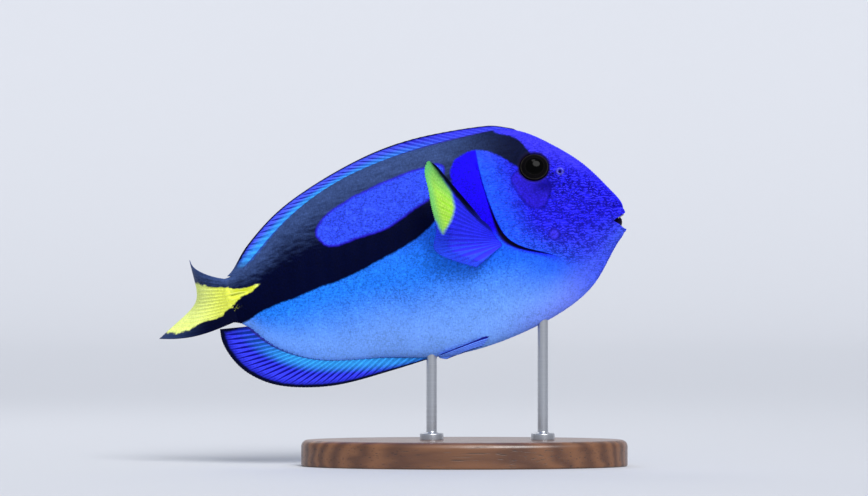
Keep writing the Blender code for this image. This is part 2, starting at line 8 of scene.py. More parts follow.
import math
import bpy
import numpy as np
from bpy.props import FloatProperty, FloatVectorProperty, PointerProperty
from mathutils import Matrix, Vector


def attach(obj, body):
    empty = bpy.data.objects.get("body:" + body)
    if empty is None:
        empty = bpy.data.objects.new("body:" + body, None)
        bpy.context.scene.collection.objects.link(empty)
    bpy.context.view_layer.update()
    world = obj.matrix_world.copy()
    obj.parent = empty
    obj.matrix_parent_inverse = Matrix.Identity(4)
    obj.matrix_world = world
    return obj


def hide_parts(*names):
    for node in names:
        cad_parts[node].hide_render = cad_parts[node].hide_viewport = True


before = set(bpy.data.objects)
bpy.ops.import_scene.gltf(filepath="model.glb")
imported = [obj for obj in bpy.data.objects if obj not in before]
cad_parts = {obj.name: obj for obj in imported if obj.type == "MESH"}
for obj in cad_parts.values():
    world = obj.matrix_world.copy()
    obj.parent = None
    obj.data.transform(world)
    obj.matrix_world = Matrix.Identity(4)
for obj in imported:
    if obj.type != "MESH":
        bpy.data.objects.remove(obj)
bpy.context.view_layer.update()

bl_info = {
    "name": "Regal blue tang model",
    "version": (1, 0, 0),
    "blender": (4, 5, 0),
    "location": "View3D > Sidebar > Tang",
    "description": "Skin, scales, fins, eyes and stand of a blue tang display model",
    "category": "Object",
}

MM = 0.001

# Pose and outlines, as in the solids
BODY_LENGTH = 155.0
HEAD_UP = math.radians(12)
SNOUT_X, SNOUT_Z = 62.0, 95.0
BEND_START = 120.0
TAIL_SWING = math.radians(10)
BACK = (
    (0, -0.8), (0.9, 5.2), (4.5, 11.7), (12, 22.6), (23, 33.1), (36, 41.2), (50, 42.4),
    (75, 41.3), (95, 38.5), (115, 32.1), (133, 21.4), (146, 11.6), (153, 8.8), (158, 8.8),
)
BELLY = (
    (0, -0.8), (1.4, -5.4), (5.5, -9.2), (10, -14.3), (16, -21.2), (24, -27.0), (36, -32.0),
    (52, -36.0), (70, -38.0), (86, -36.8), (100, -33.8), (115, -31.7), (128, -28.6),
    (138, -23.5), (145, -17.4), (150, -11.4), (154, -8.9), (158, -8.7),
)
HALF_WIDTH = (
    (0, 0), (0.9, 2.4), (4, 3.9), (10, 5.8), (20, 8.2), (32, 10.4), (45, 11.9), (60, 12.3),
    (80, 11.3), (100, 9.0), (120, 6.4), (135, 4.5), (146, 3.2), (154, 2.5), (158, 2.3),
)
KEEL = 0.25
GILL_EDGE = (
    (-1, 24), (-0.75, 25), (-0.5, 27.5), (-0.37, 31), (-0.25, 38.5), (-0.1, 45.5), (0.05, 48.5),
    (0.25, 50.2), (0.6, 51.6), (1, 51),
)
GILL_LIFT, GILL_LIFT_REACH = 0.7, 6.0
SKIN_END = 156.8  # the skin runs this far and thins out over the root of the tail fin
COAT_DEPTH = 0.2  # the skin lies this far inside the solids, and the scales fill it

MOUTH_CORNER = (6.2, -0.4)
UPPER_LIP_Z, LOWER_LIP_Z = 1.9, -5.0
LIP_RADIUS, LIP_CORNER_RADIUS = 0.9, 0.5
LIP_RISE, LIP_SET_BACK = 0.5, 0.75
MOUTH_DEPTH = 2.2
TEETH_PER_JAW = 16

EYE_S, EYE_Z = 31.0, 25.5
EYE_RADII = (5.7, 5.3, 2.8)
EYE_DEPTH = 1.0
EYE_AXIS = Vector((0.12, 0.96, 0.25)).normalized()
ORBIT = (5.4, 5.05)  # half axes of the ring where the eye meets the skin
NOSTRILS = ((21.7, 21.9, 0.85), (24.6, 21.7, 0.6))
SPINE_S, SPINE_Z = 151.4, 2.0
SPINE_LENGTH, SPINE_RADIUS = 4.2, 0.6

# Markings as (s, z) outlines on the flank, the same on both sides
BLACK_BAND = (
    (31.5, 26.2), (31.2, 30.2), (32.6, 33.4), (34.7, 36.7), (38.0, 39.2), (43.0, 41.6), (46, 48),
    (70, 50), (100, 46), (130, 32), (150, 18), (162, 12), (162, -11), (150.6, -9.3), (144.3, -7.1),
    (136.1, -5.0), (128.1, -4.0), (120.0, -2.2), (112.0, -1.2), (103.8, 0.6), (95.6, 3.1),
    (87.3, 5.6), (81.0, 7.7), (75.7, 10.5), (69.7, 15.1), (64.6, 21.0), (62.7, 26.0),
    (62.6, 30.2), (59.8, 34.3), (53.5, 36.5), (49.7, 36.0), (46.2, 34.5), (42.8, 31.9),
    (39.6, 28.8), (37.0, 26.4), (36.8, 23.6),
)
BLUE_OVAL = (
    (116.6, 17.3), (115.1, 20.8), (110.5, 24.1), (102.0, 27.7), (93.7, 29.9), (85.6, 31.6),
    (77.5, 33.0), (71.6, 33.6), (67.0, 33.7), (65.0, 32.0), (66.4, 28.8), (69.6, 24.7),
    (73.3, 22.0), (76.3, 20.7), (80.5, 18.9), (84.8, 17.1), (89.1, 15.3), (93.2, 14.2),
    (101.1, 13.6), (105.1, 12.9), (111.1, 12.2), (114.6, 13.7),
)
YELLOW_WEDGE = (
    (141.2, 4.0), (145.9, 3.4), (149.0, 3.5), (151.8, 4.0), (155.2, 5.2), (158.7, 6.9), (162.3, 8.4),
    (166, 10), (166, -7), (160.5, -6.0), (158.6, -4.0), (155.4, -3.1), (152.0, -1.3), (149.2, 0.5),
    (145.4, 1.6),
)
VIOLET_PATCH = (
    (31.0, 26.5), (39.9, 23.9), (39.5, 18.3), (37.2, 12.8), (33.9, 10.2), (29.9, 10.5),
    (27.6, 13.9), (26.7, 18.3),
)
CHEEK_SPOT = (28.9, -1.0, 2.0)  # s, z and radius


def smooth_curve(points):
    """The natural cubic spline through rows of (place, value, ...), as a function of the place."""
    rows = np.array(points, float)
    places, values = rows[:, 0], rows[:, 1:]
    steps = np.diff(places)
    slopes = np.diff(values, axis=0) / steps[:, None]
    system = np.eye(len(places))
    right = np.zeros_like(values)
    for i in range(1, len(places) - 1):
        system[i, i - 1 : i + 2] = steps[i - 1], 2 * (steps[i - 1] + steps[i]), steps[i]
        right[i] = 6 * (slopes[i] - slopes[i - 1])
    bends = np.linalg.solve(system, right)

    def curve(place):
        place = np.clip(np.asarray(place, float), places[0], places[-1])
        i = np.clip(np.searchsorted(places, place) - 1, 0, len(steps) - 1)
        step = steps[i][..., None]
        a = (places[i + 1] - place)[..., None] / step
        b = 1 - a
        found = a * values[i] + b * values[i + 1]
        found += step**2 / 6 * ((a**3 - a) * bends[i] + (b**3 - b) * bends[i + 1])
        return found[..., 0] if values.shape[1] == 1 else found

    return curve


def station_curve(points):
    """A spline along the body, laid over the square root of s so that the snout comes out round."""
    curve = smooth_curve([(math.sqrt(s), value) for s, value in points])
    return lambda s: curve(np.sqrt(np.maximum(s, 0)))


back, belly, widest = station_curve(BACK), station_curve(BELLY), station_curve(HALF_WIDTH)
gill_edge = smooth_curve(GILL_EDGE)


def step(value, low, high):
    """0 below low, 1 above high, and an S curve between them."""
    share = np.clip((value - low) / (high - low), 0, 1)
    return share * share * (3 - 2 * share)


def bell(value, middle, width):
    return np.exp(-(((value - middle) / width) ** 2))


def half_width(s, z):
    """How far the flank lies from the middle plane at a height, and 0 above and below the body."""
    middle, height = (back(s) + belly(s)) / 2, (back(s) - belly(s)) / 2
    level = np.clip((z - middle) / np.maximum(height, 1e-6), -1, 1)
    return widest(s) * np.sqrt(1 - level**2) * (1 - KEEL * level**2)


def placed(points):
    """Fish points (s, y, z) in millimetres, with the tail swung along an arc and the head up, in metres."""
    s, y, z = np.moveaxis(np.asarray(points, float), -1, 0)
    radius = (BODY_LENGTH - BEND_START) / TAIL_SWING
    turn = np.clip((s - BEND_START) / radius, 0, TAIL_SWING)
    beyond = s - BEND_START - radius * turn
    new_s = BEND_START + (radius - y) * np.sin(turn) + beyond * np.cos(turn)
    bent = s > BEND_START
    new_s = np.where(bent, new_s, s)
    new_y = np.where(bent, radius - (radius - y) * np.cos(turn) + beyond * np.sin(turn), y)
    x = SNOUT_X - new_s * math.cos(HEAD_UP) - z * math.sin(HEAD_UP)
    height = SNOUT_Z - new_s * math.sin(HEAD_UP) + z * math.cos(HEAD_UP)
    return np.stack([x, new_y, height], -1) * MM


def grid_triangles(rows, columns, wrap=False):
    """Triangles of a grid of points, each quad split along its first diagonal."""
    row, column = np.meshgrid(
        np.arange(rows - 1), np.arange(columns if wrap else columns - 1), indexing="ij"
    )
    a, b = row * columns + column, row * columns + (column + 1) % columns
    c, d = b + columns, a + columns
    return np.concatenate([np.stack([a, b, c], -1).reshape(-1, 3), np.stack([a, c, d], -1).reshape(-1, 3)])


def mesh_piece(name, points, triangles, material, values=None, uv=None, smooth=True):
    """A finished piece from points in metres. Doubles are merged, and a closed one faces outwards.

    values gives each named attribute one number per point, and uv one place per point.
    """
    flat = np.round(points.reshape(-1, 3) / 1e-7).astype(np.int64)
    _, first, index = np.unique(flat, axis=0, return_index=True, return_inverse=True)
    triangles = index.reshape(-1)[triangles]
    whole = (triangles[:, 0] != triangles[:, 1]) & (triangles[:, 1] != triangles[:, 2])
    triangles = triangles[whole & (triangles[:, 0] != triangles[:, 2])]
    points = points.reshape(-1, 3)[first]
    corners = points[triangles] - points.mean(axis=0)
    if np.einsum("ij,ij->i", corners[:, 0], np.cross(corners[:, 1], corners[:, 2])).sum() < 0:
        triangles = triangles[:, ::-1]
    mesh = bpy.data.meshes.new(name)
    mesh.vertices.add(len(points))
    mesh.vertices.foreach_set("co", points.astype(np.float32).ravel())
    mesh.loops.add(triangles.size)
    mesh.loops.foreach_set("vertex_index", np.ascontiguousarray(triangles, np.int32).ravel())
    mesh.polygons.add(len(triangles))
    mesh.polygons.foreach_set("loop_start", np.arange(0, triangles.size, 3, dtype=np.int32))
    mesh.update(calc_edges=True)
    mesh.validate()
    for label, numbers in (values or {}).items():
        attribute = mesh.attributes.new(label, "FLOAT", "POINT")
        attribute.data.foreach_set("value", np.asarray(numbers, np.float32).reshape(-1)[first])
    if uv is not None:
        layer = mesh.uv_layers.new(name="OFBake")
        layer.uv.foreach_set("vector", uv[first][triangles.reshape(-1)].astype(np.float32).ravel())
    if smooth:
        mesh.shade_smooth()
    mesh.materials.append(material)
    obj = bpy.data.objects.new(name, mesh)
    bpy.context.scene.collection.objects.link(obj)
    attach(obj, "root")
    return obj


# Shapes of the body


def ring_point(s, angle):
    """The plain body: width by the cosine of the angle, flattened at the keels, and height by its sine."""
    sine = np.sin(angle)
    middle, height = (back(s) + belly(s)) / 2, (back(s) - belly(s)) / 2
    thin = 1 - 0.6 * step(s, 153.8, SKIN_END)
    y = -widest(s) * thin * np.cos(angle) * (1 - KEEL * sine**2)
    return np.stack([s + 0 * y, y, middle + height * sine], -1)


def outward(s, angle):
    """The plain body's unit normal, from its slopes along the root of s and round the ring."""
    t, nudge = np.sqrt(np.maximum(s, 0.0004)), 1e-3
    along = ring_point((t + nudge) ** 2, angle) - ring_point(np.maximum(t - nudge, 0) ** 2, angle)
    around = ring_point(t**2, angle + nudge) - ring_point(t**2, angle - nudge)
    normal = np.cross(along, around)
    normal /= np.maximum(np.linalg.norm(normal, axis=-1, keepdims=True), 1e-12)
    return normal


def orbit_share(s, z):
    """1 on the ring where the eye meets the skin, less inside it and more outside."""
    return np.hypot((s - EYE_S) / ORBIT[0], (z - EYE_Z) / ORBIT[1])


def slit_depth(level):
    """Millimetres at the gill cover's edge: deepest at mid height, a faint line above and none below."""
    upper = 0.16 * step(-level, -0.85, -0.6) + 0.84 * step(-level, -0.42, -0.12)
    return 1.4 * step(level, -0.4, -0.27) * upper


def slit_width(level):
    """Millimetres from the gill cover's edge to the slit's rear edge, widest at its bend."""
    return 0.7 + 2.7 * bell(level, -0.08, 0.2)


def gill_slit(s, angle):
    """How deep the slit is behind the gill cover: a notch that fades towards the nape and throat."""
    level = np.sin(angle)
    behind = s - gill_edge(level)
    width = slit_width(level)
    return np.where(behind > 0, slit_depth(level) * (1 - step(behind, 0.3 * width, width)), 0)


def relief(s, angle, z):
    """Height over the plain body: gill cover, orbit, nostrils, cheek folds, muscle and the spine's groove."""
    level = np.sin(angle)
    ahead = gill_edge(level) - s
    cover = GILL_LIFT * (1 - level**2) * step(-level, -0.9, -0.5) * step(level, -0.5, -0.2)
    height = np.where(ahead >= 0, cover * bell(ahead, 0, GILL_LIFT_REACH), 0) - gill_slit(s, angle)
    share = orbit_share(s, z)
    height += 0.13 * bell(share, 1.2, 0.1) - 2.2 * (1 - step(share, 0.88, 1.08))
    for nostril_s, nostril_z, radius in NOSTRILS:
        away = np.hypot(s - nostril_s, z - nostril_z)
        height += 0.32 * bell(away, radius * 1.2, 0.3) - 1.1 * (1 - step(away, 0.3 * radius, radius))
    fold_s = 36 - 0.014 * (z - 12) ** 2
    low_cheek = step(z, -16, -4) * (1 - step(z, 14, 22))
    height -= 0.28 * bell(s, fold_s, 0.8) * low_cheek
    height += 0.22 * bell(s, fold_s - 2.2, 2.0) * low_cheek
    along_spine = step(s, SPINE_S - 6.2, SPINE_S - 4.5) * (1 - step(s, SPINE_S + 4.2, SPINE_S + 5))
    height -= 0.55 * along_spine * bell(z, SPINE_Z, 0.95)
    height += 0.2 * along_spine * (bell(z, SPINE_Z + 1.9, 0.7) + bell(z, SPINE_Z - 1.9, 0.7))
    height += 0.05 * np.sin(0.9 * s + 0.06 * np.abs(z - 3) ** 1.3) * step(s, 60, 75) * (1 - level**2)
    return height


def lip_path(front_z, edge, shares):
    """Points of a lip round the snout: share 0 is in front, and -1 and 1 are the mouth's corners."""
    corner_s, corner_z = MOUTH_CORNER
    stations = np.linspace(0, corner_s, 200)
    heights = edge(stations)
    order = np.argsort(heights)
    z = front_z + (corner_z - front_z) * shares**2
    front_s = np.interp(z, heights[order], stations[order])
    s = front_s + (corner_s - front_s) * shares**2
    return np.stack([s, np.sign(shares) * half_width(s, z), z], -1)


def nearest_on(path, points):
    """Distance of each point to a path of points, and the place of the nearest one."""
    away = np.linalg.norm(points[:, None] - path[None], axis=-1)
    return away.min(axis=1), away.argmin(axis=1)


def with_mouth(points, normals):
    """Skin points near the snout with round lips raised and the slot between them sunk in.

    A lip is a round bead over the distance to its line, and the snout is blunt round it. Between the lips' inner edges the skin goes
    back into the head. Returns the points and how much each belongs to the mouth's inside.
    """
    inside = np.zeros(len(points))
    near = np.flatnonzero(points[:, 0] < MOUTH_CORNER[0] + 4)
    shares = np.linspace(-1, 1, 121)
    radii = LIP_CORNER_RADIUS + (LIP_RADIUS - LIP_CORNER_RADIUS) * (1 - shares**2)
    upper, lower = lip_path(UPPER_LIP_Z, back, shares), lip_path(LOWER_LIP_Z, belly, shares)
    here, facing = points[near], normals[near]
    raised, back_by = np.zeros(len(near)), np.zeros(len(near))
    for path in (upper, lower):
        away, place = nearest_on(path, here)
        radius = radii[place]
        bead = LIP_RISE * radius * np.clip(1 - (away / (1.35 * radius)) ** 2, 0, 1) ** 0.7
        raised = np.maximum(raised, bead)
        back_by = np.maximum(back_by, LIP_SET_BACK * bell(away, 0, 2.2) * (1 - shares[place] ** 2))
    _, place = nearest_on((upper + lower) / 2, here)
    share = shares[place]
    high = upper[place, 2] - 0.72 * radii[place]
    low = lower[place, 2] + 0.72 * radii[place]
    slot = step(here[:, 2], low - 0.25, low + 0.35) * (1 - step(here[:, 2], high - 0.35, high + 0.25))
    slot *= 1 - step(here[:, 0], MOUTH_CORNER[0] - 0.9, MOUTH_CORNER[0])
    depth = MOUTH_DEPTH * (1 - 0.75 * share**2)
    inwards = np.stack([depth, -0.45 * here[:, 1] * (1 + share**2), 0 * depth], -1)
    points[near] = here + facing * (raised * (1 - slot))[:, None] + inwards * slot[:, None]
    points[near, 0] += back_by
    inside[near] = slot
    return points, inside


def skin_point(s, angle):
    """Points of the skin for scales: the plain body with its relief, the coat's depth inside it."""
    plain = ring_point(s, angle)
    return plain + outward(s, angle) * (relief(s, angle, plain[..., 2]) - COAT_DEPTH)[..., None]


def warped(count, low, high, bumps):
    """Places from low to high, set closer near each (middle, width, strength) of bumps."""
    fine = np.linspace(low, high, 4000)
    density = 1 + sum(strength * bell(fine, middle, width) for middle, width, strength in bumps)
    total = np.concatenate([[0], np.cumsum((density[1:] + density[:-1]) / 2)])
    return np.interp(np.linspace(0, total[-1], count), total, fine)


def outline(points, between=4):
    """A closed outline through (s, z) points, rounded by the Catmull-Rom formula."""
    p = np.array(points, float)
    before, after, later = np.roll(p, 1, 0), np.roll(p, -1, 0), np.roll(p, -2, 0)
    t = np.linspace(0, 1, between, endpoint=False)[:, None, None]
    curve = 2 * p + (after - before) * t + (2 * before - 5 * p + 4 * after - later) * t**2
    curve = curve + (3 * p - before - 3 * after + later) * t**3
    return (curve / 2).transpose(1, 0, 2).reshape(-1, 2)


def depth_in(s, z, corners):
    """How far each point lies inside a closed outline, and outside it as a negative number."""
    found = np.empty(len(s))
    a, b = corners, np.roll(corners, -1, 0)
    run = b - a
    for start in range(0, len(s), 8192):
        p = np.stack([s, z], -1)[start : start + 8192, None]
        share = np.clip(((p - a) * run).sum(-1) / (run**2).sum(-1), 0, 1)
        away = np.linalg.norm(p - a - share[..., None] * run, axis=-1).min(axis=1)
        straddles = (a[:, 1] > p[..., 1]) != (b[:, 1] > p[..., 1])
        rise = np.where(run[:, 1] == 0, 1, run[:, 1])
        left = p[..., 0] < a[:, 0] + run[:, 0] * (p[..., 1] - a[:, 1]) / rise
        inside = (straddles & left).sum(axis=1) % 2 == 1
        found[start : start + 8192] = np.where(inside, away, -away)
    return found


def markings(s, z, level):
    """The numbers that the skin's material paints by, one array each, in millimetres or shares."""
    spot_s, spot_z, radius = CHEEK_SPOT
    return {
        "black": depth_in(s, z, outline(BLACK_BAND)),
        "oval": depth_in(s, z, outline(BLUE_OVAL)),
        "yellow": depth_in(s, z, outline(YELLOW_WEDGE)),
        "violet": np.maximum(
            depth_in(s, z, outline(VIOLET_PATCH)), radius - np.hypot(s - spot_s, z - spot_z)
        ),
        "station": s / BODY_LENGTH,
        "level": level,
        "behind_gill": s - gill_edge(level),
        # painted shade in the crease round the eye
        "eyelid": bell(orbit_share(s, z), 1.06, 0.1),
        # painted shadow below the eye
        "smudge": bell(np.hypot((s - 28.2) / 4.6, (z - 18.0) / 2.6), 0, 1),
        "nostril": sum(bell(np.hypot(s - a, z - b), 1.25 * r, 0.4 * r) for a, b, r in NOSTRILS[:1]),
    }


# Materials


def add_node(tree, kind, inputs=None, **settings):
    """A shader node with its settings, and its inputs given as values or as other nodes' sockets."""
    made = tree.nodes.new("ShaderNode" + kind)
    for label, value in settings.items():
        setattr(made, label, value)
    for label, value in (inputs or {}).items():
        socket = made.inputs[label]
        if isinstance(value, bpy.types.NodeSocket):
            tree.links.new(value, socket)
        else:
            socket.default_value = value
    return made


def calculate(tree, operation, *values):
    return add_node(tree, "Math", dict(enumerate(values)), operation=operation).outputs[0]


def blend(tree, share, first, second, mode="MIX"):
    """Colour first where the share is 0, and second where it is 1."""
    inputs = {0: share, 6: first, 7: second}
    return add_node(tree, "Mix", inputs, data_type="RGBA", blend_type=mode).outputs[2]


def ramp(tree, value, low, high, start=0.0, end=1.0):
    """A smooth step from start at low to end at high."""
    inputs = {"Value": value, 1: low, 2: high, 3: start, 4: end}
    return add_node(tree, "MapRange", inputs, interpolation_type="SMOOTHSTEP").outputs[0]


def read(tree, label):
    return add_node(tree, "Attribute", attribute_name=label).outputs["Fac"]


def place_of(tree, scale=(1, 1, 1), tipped=False):
    """Object coordinates in metres, stretched by a scale and, where tipped, laid along the fish's axis."""
    where = add_node(tree, "TexCoord").outputs["Object"]
    if tipped:
        where = add_node(tree, "Mapping", {"Vector": where, "Rotation": (0, HEAD_UP, 0)}).outputs["Vector"]
    return add_node(tree, "Mapping", {"Vector": where, "Scale": scale}).outputs["Vector"]


def noise(tree, vector, scale, detail=2.0, roughness=0.5, distortion=0.0):
    inputs = {"Vector": vector, "Scale": scale, "Detail": detail, "Roughness": roughness}
    inputs["Distortion"] = distortion
    return add_node(tree, "TexNoise", inputs).outputs["Fac"]


def new_material(name, roughness=0.4, coat=0.0, coat_roughness=0.15, **fixed):
    """A material, its node tree and its Principled shader with fixed values on the shader's sockets."""
    material = bpy.data.materials.new(name)
    material.use_nodes = True
    tree = material.node_tree
    shader = tree.nodes["Principled BSDF"]
    shader.inputs["Roughness"].default_value = roughness
    shader.inputs["Coat Weight"].default_value = coat
    shader.inputs["Coat Roughness"].default_value = coat_roughness
    for label, value in fixed.items():
        shader.inputs[label.replace("_", " ").title().replace("Ior", "IOR")].default_value = value
    return material, tree, shader


def add_bump(tree, shader, height, distance, strength=1.0):
    bump = add_node(tree, "Bump", {"Height": height, "Distance": distance, "Strength": strength})
    tree.links.new(bump.outputs["Normal"], shader.inputs["Normal"])


def new_group(name, inputs, outputs):
    """An empty shader node group with number inputs and outputs, and its two end nodes."""
    tree = bpy.data.node_groups.new(name, "ShaderNodeTree")
    for label, value in inputs.items():
        kind = "NodeSocketVector" if label == "Vector" else "NodeSocketFloat"
        socket = tree.interface.new_socket(name=label, in_out="INPUT", socket_type=kind)
        if label != "Vector":
            socket.default_value = value
    for label in outputs:
        tree.interface.new_socket(name=label, in_out="OUTPUT", socket_type="NodeSocketFloat")
    return tree, tree.nodes.new("NodeGroupInput").outputs, tree.nodes.new("NodeGroupOutput").inputs


def mottle_group():
    """Speckle: fine grain over soft patches, as a number round 1 to darken or lighten a colour by."""
    found = bpy.data.node_groups.get("mottle")
    if found:
        return found
    tree, given, result = new_group("mottle", {"Vector": 0, "Grain": 0.2, "Patches": 0.2}, ["Tone"])
    fine = calculate(tree, "SUBTRACT", noise(tree, given["Vector"], 1400, 2), 0.5)
    broad = calculate(tree, "SUBTRACT", noise(tree, given["Vector"], 110, 3), 0.5)
    fine = calculate(tree, "MULTIPLY", fine, given["Grain"])
    broad = calculate(tree, "MULTIPLY", broad, given["Patches"])
    total = calculate(tree, "ADD", calculate(tree, "ADD", fine, broad), 1.0)
    tree.links.new(total, result["Tone"])
    return tree


def toned(tree, colour, grain, patches, vector):
    """A colour made darker and lighter by the mottle group."""
    inputs = {"Vector": vector, "Grain": grain, "Patches": patches}
    group = tree.nodes.new("ShaderNodeGroup")
    group.node_tree = mottle_group()
    for label, value in inputs.items():
        if isinstance(value, bpy.types.NodeSocket):
            tree.links.new(value, group.inputs[label])
        else:
            group.inputs[label].default_value = value
    grey = add_node(tree, "CombineColor", {i: group.outputs["Tone"] for i in range(3)}).outputs[0]
    return blend(tree, 1.0, colour, grey, "MULTIPLY")


def rgb(red, green, blue):
    """A colour of the screen, from 0 to 255 each, as linear light for a shader."""
    shares = np.array([red, green, blue]) / 255
    light = np.where(shares <= 0.04045, shares / 12.92, ((shares + 0.055) / 1.055) ** 2.4)
    return (*light.tolist(), 1.0)


def skin_material(look):
    """Blue that runs from violet on the head to azure on the flank and a pale belly, with the markings."""
    material, tree, shader = new_material(
        "tang_skin", 0.5, specular_ior_level=0.03
    )
    where = place_of(tree)
    station, level, tone = read(tree, "station"), read(tree, "level"), read(tree, "tone")
    ragged = calculate(tree, "MULTIPLY_ADD", noise(tree, where, 900, 2), 1.5, -0.75)
    waver = calculate(tree, "MULTIPLY_ADD", noise(tree, where, 170, 2), 2.4, -1.2)
    ragged = calculate(tree, "ADD", ragged, waver)

    def marked(label, soft, share=1.0):
        """How much a point belongs to a marking, with a ragged edge."""
        depth = calculate(tree, "MULTIPLY_ADD", ragged, share, read(tree, label))
        return ramp(tree, depth, -soft, soft)

    def both(*shares):
        """The product of several shares."""
        found = shares[0]
        for share in shares[1:]:
            found = calculate(tree, "MULTIPLY", found, share)
        return found

    drift = calculate(tree, "MULTIPLY_ADD", noise(tree, where, 45, 2), 0.16, -0.08)
    height = calculate(tree, "ADD", level, drift)
    behind_gill = read(tree, "behind_gill")
    flank = blend(tree, ramp(tree, height, -0.1, 0.6), look.flank_blue, look.back_blue)
    flank = blend(tree, ramp(tree, height, -0.12, -0.85), flank, look.belly_blue)
    rear = both(ramp(tree, station, 0.5, 0.95, 0.0, 0.6), ramp(tree, height, -0.8, -0.2, 0.35, 1.0))
    flank = blend(tree, rear, flank, look.rear_blue)
    cover = both(ramp(tree, behind_gill, -16.0, -3.0), ramp(tree, height, -0.5, -0.1))
    head = blend(tree, both(cover, ramp(tree, height, 1.0, 0.5)), look.head_blue, look.cover_blue)
    head = blend(tree, ramp(tree, height, 0.1, -0.9, 0.0, 0.7), head, look.throat_blue)
    # Painted highlight: the top of the head paled towards the forehead's violet.
    front = both(ramp(tree, height, 0.6, 0.95), ramp(tree, station, 0.02, 0.12))
    head = blend(tree, both(front, 0.6), head, look.forehead)
    shoulder = both(ramp(tree, behind_gill, 30.0, 2.0), ramp(tree, height, -0.95, -0.45))
    flank = blend(tree, both(shoulder, 0.9), flank, look.shoulder_blue)
    blue = blend(tree, ramp(tree, behind_gill, -14.0, 10.0), head, flank)
    royal = both(ramp(tree, behind_gill, 24.0, 12.0), ramp(tree, height, -0.12, 0.06))
    # Painted shade: a dark band of royal blue right behind the gill slit.
    slit_shade = both(ramp(tree, behind_gill, 4.0, 1.5), ramp(tree, height, -0.5, -0.3), 0.8)
    royal = both(calculate(tree, "MAXIMUM", royal, slit_shade), ramp(tree, behind_gill, -0.4, 0.2))
    blue = blend(tree, royal, blue, look.royal_blue)
    low = both(ramp(tree, height, -0.6, -1.05), ramp(tree, station, 0.42, 0.22), ramp(tree, station, 0.09, 0.2))
    blue = blend(tree, both(ramp(tree, behind_gill, 16.0, -4.0), ramp(tree, height, -0.5, -0.8), 0.6), blue, look.throat_blue)
    blue = blend(tree, both(low, 0.8), blue, look.throat_pale)

    sharp, faded = ramp(tree, behind_gill, 0.5, -1.5), ramp(tree, behind_gill, 5.0, -13.0)
    face = blend(tree, ramp(tree, height, -0.4, -0.62), sharp, faded)
    face = both(ramp(tree, station, 0.36, 0.16, 0.35, 1.0), face)
    face = both(face, ramp(tree, height, -0.9, -0.25, 0.6, 1.0), ramp(tree, height, 1.0, 0.5, 0.4, 1.0))
    waves = {"Vector": where, "Scale": 300, "Distortion": 8.5, "Detail": 1.5, "Detail Scale": 1.5}
    waves = add_node(tree, "TexWave", waves, bands_direction="Z").outputs["Fac"]
    broken = ramp(tree, noise(tree, place_of(tree, (420, 500, 700)), 1, 1), 0.38, 0.54)
    cells = {"Vector": place_of(tree, (0.68, 0.8, 1.2)), "Scale": 1150, "Randomness": 0.9}
    cells = add_node(tree, "TexVoronoi", cells, feature="DISTANCE_TO_EDGE").outputs["Distance"]
    net = both(ramp(tree, cells, 0.26, 0.04), ramp(tree, noise(tree, where, 520, 1), 0.62, 0.42))
    ripples = calculate(tree, "MAXIMUM", both(ramp(tree, waves, 0.5, 0.08), broken, 0.9), net)
    worms = both(ripples, face)
    blue = blend(tree, both(ramp(tree, waves, 0.55, 0.95), face, 0.45), blue, look.forehead)
    blue = blend(tree, both(worms, ramp(tree, height, 0.1, 0.6, 0.8, 1.0)), blue, look.line_and_shadow_blue)

    patch = read(tree, "violet")
    marks = blend(tree, ramp(tree, level, 0.1, -0.05, 0.0, 0.45), look.violet, look.forehead)
    blue = blend(tree, both(marked("violet", 0.7, 0.3), 0.85), blue, marks)
    rim = calculate(tree, "ABSOLUTE", calculate(tree, "MULTIPLY_ADD", ragged, 0.25, patch))
    blue = blend(tree, both(ramp(tree, rim, 0.75, 0.1), 0.55), blue, look.line_and_shadow_blue)
    # Painted shadow below the eye.
    blue = blend(tree, both(read(tree, "smudge"), 0.9), blue, look.line_and_shadow_blue)
    blue = blend(tree, both(read(tree, "nostril"), 0.4), blue, look.nostril_rim)
    faint = both(ripples, ramp(tree, height, -0.75, -0.2, 0.05, 0.26), ramp(tree, behind_gill, -2.0, 2.0))
    blue = blend(tree, faint, blue, look.line_and_shadow_blue)
    grain = both(ramp(tree, height, -0.8, -0.1, 0.7, 1.7), ramp(tree, height, 0.6, 0.95, 1.0, 0.6))
    blue = toned(tree, blue, grain, 0.35, where)

    # Painted sheen: streaks along the body turn the black band to slate towards the top of the back, less so towards
    # the head.
    streaks = noise(tree, place_of(tree, (130, 900, 900), True), 1, 2)
    streaks = calculate(tree, "MULTIPLY_ADD", streaks, 0.5, -0.25)
    slate_sheen = ramp(tree, calculate(tree, "ADD", height, streaks), 0.42, 1.0)
    slate_sheen = both(slate_sheen, ramp(tree, station, 0.23, 0.45, 0.06, 1.0))
    black = blend(tree, slate_sheen, look.black, look.slate_sheen)
    black = toned(tree, black, 1.1, 0.5, where)
    oval_blue = blend(tree, both(ripples, 0.4), look.oval_blue, look.line_and_shadow_blue)
    oval_blue = toned(tree, oval_blue, 2.0, 0.3, where)
    inner = blend(tree, marked("oval", 0.6, 0.4), look.violet, oval_blue)
    oval_rim = calculate(tree, "ADD", read(tree, "oval"), 0.7)
    oval_rim = ramp(tree, calculate(tree, "MULTIPLY_ADD", ragged, 0.4, oval_rim), -0.4, 0.5)
    dark = blend(tree, oval_rim, black, inner)
    colour = blend(tree, marked("black", 0.5, 0.4), blue, dark)
    specks = both(ramp(tree, noise(tree, where, 1500, 1), 0.56, 0.64), ramp(tree, level, -0.1, -0.4))
    specks = both(specks, ramp(tree, read(tree, "yellow"), -3.0, -0.8), ramp(tree, station, 0.955, 0.97))
    colour = blend(tree, both(specks, 0.35), colour, look.yellow)
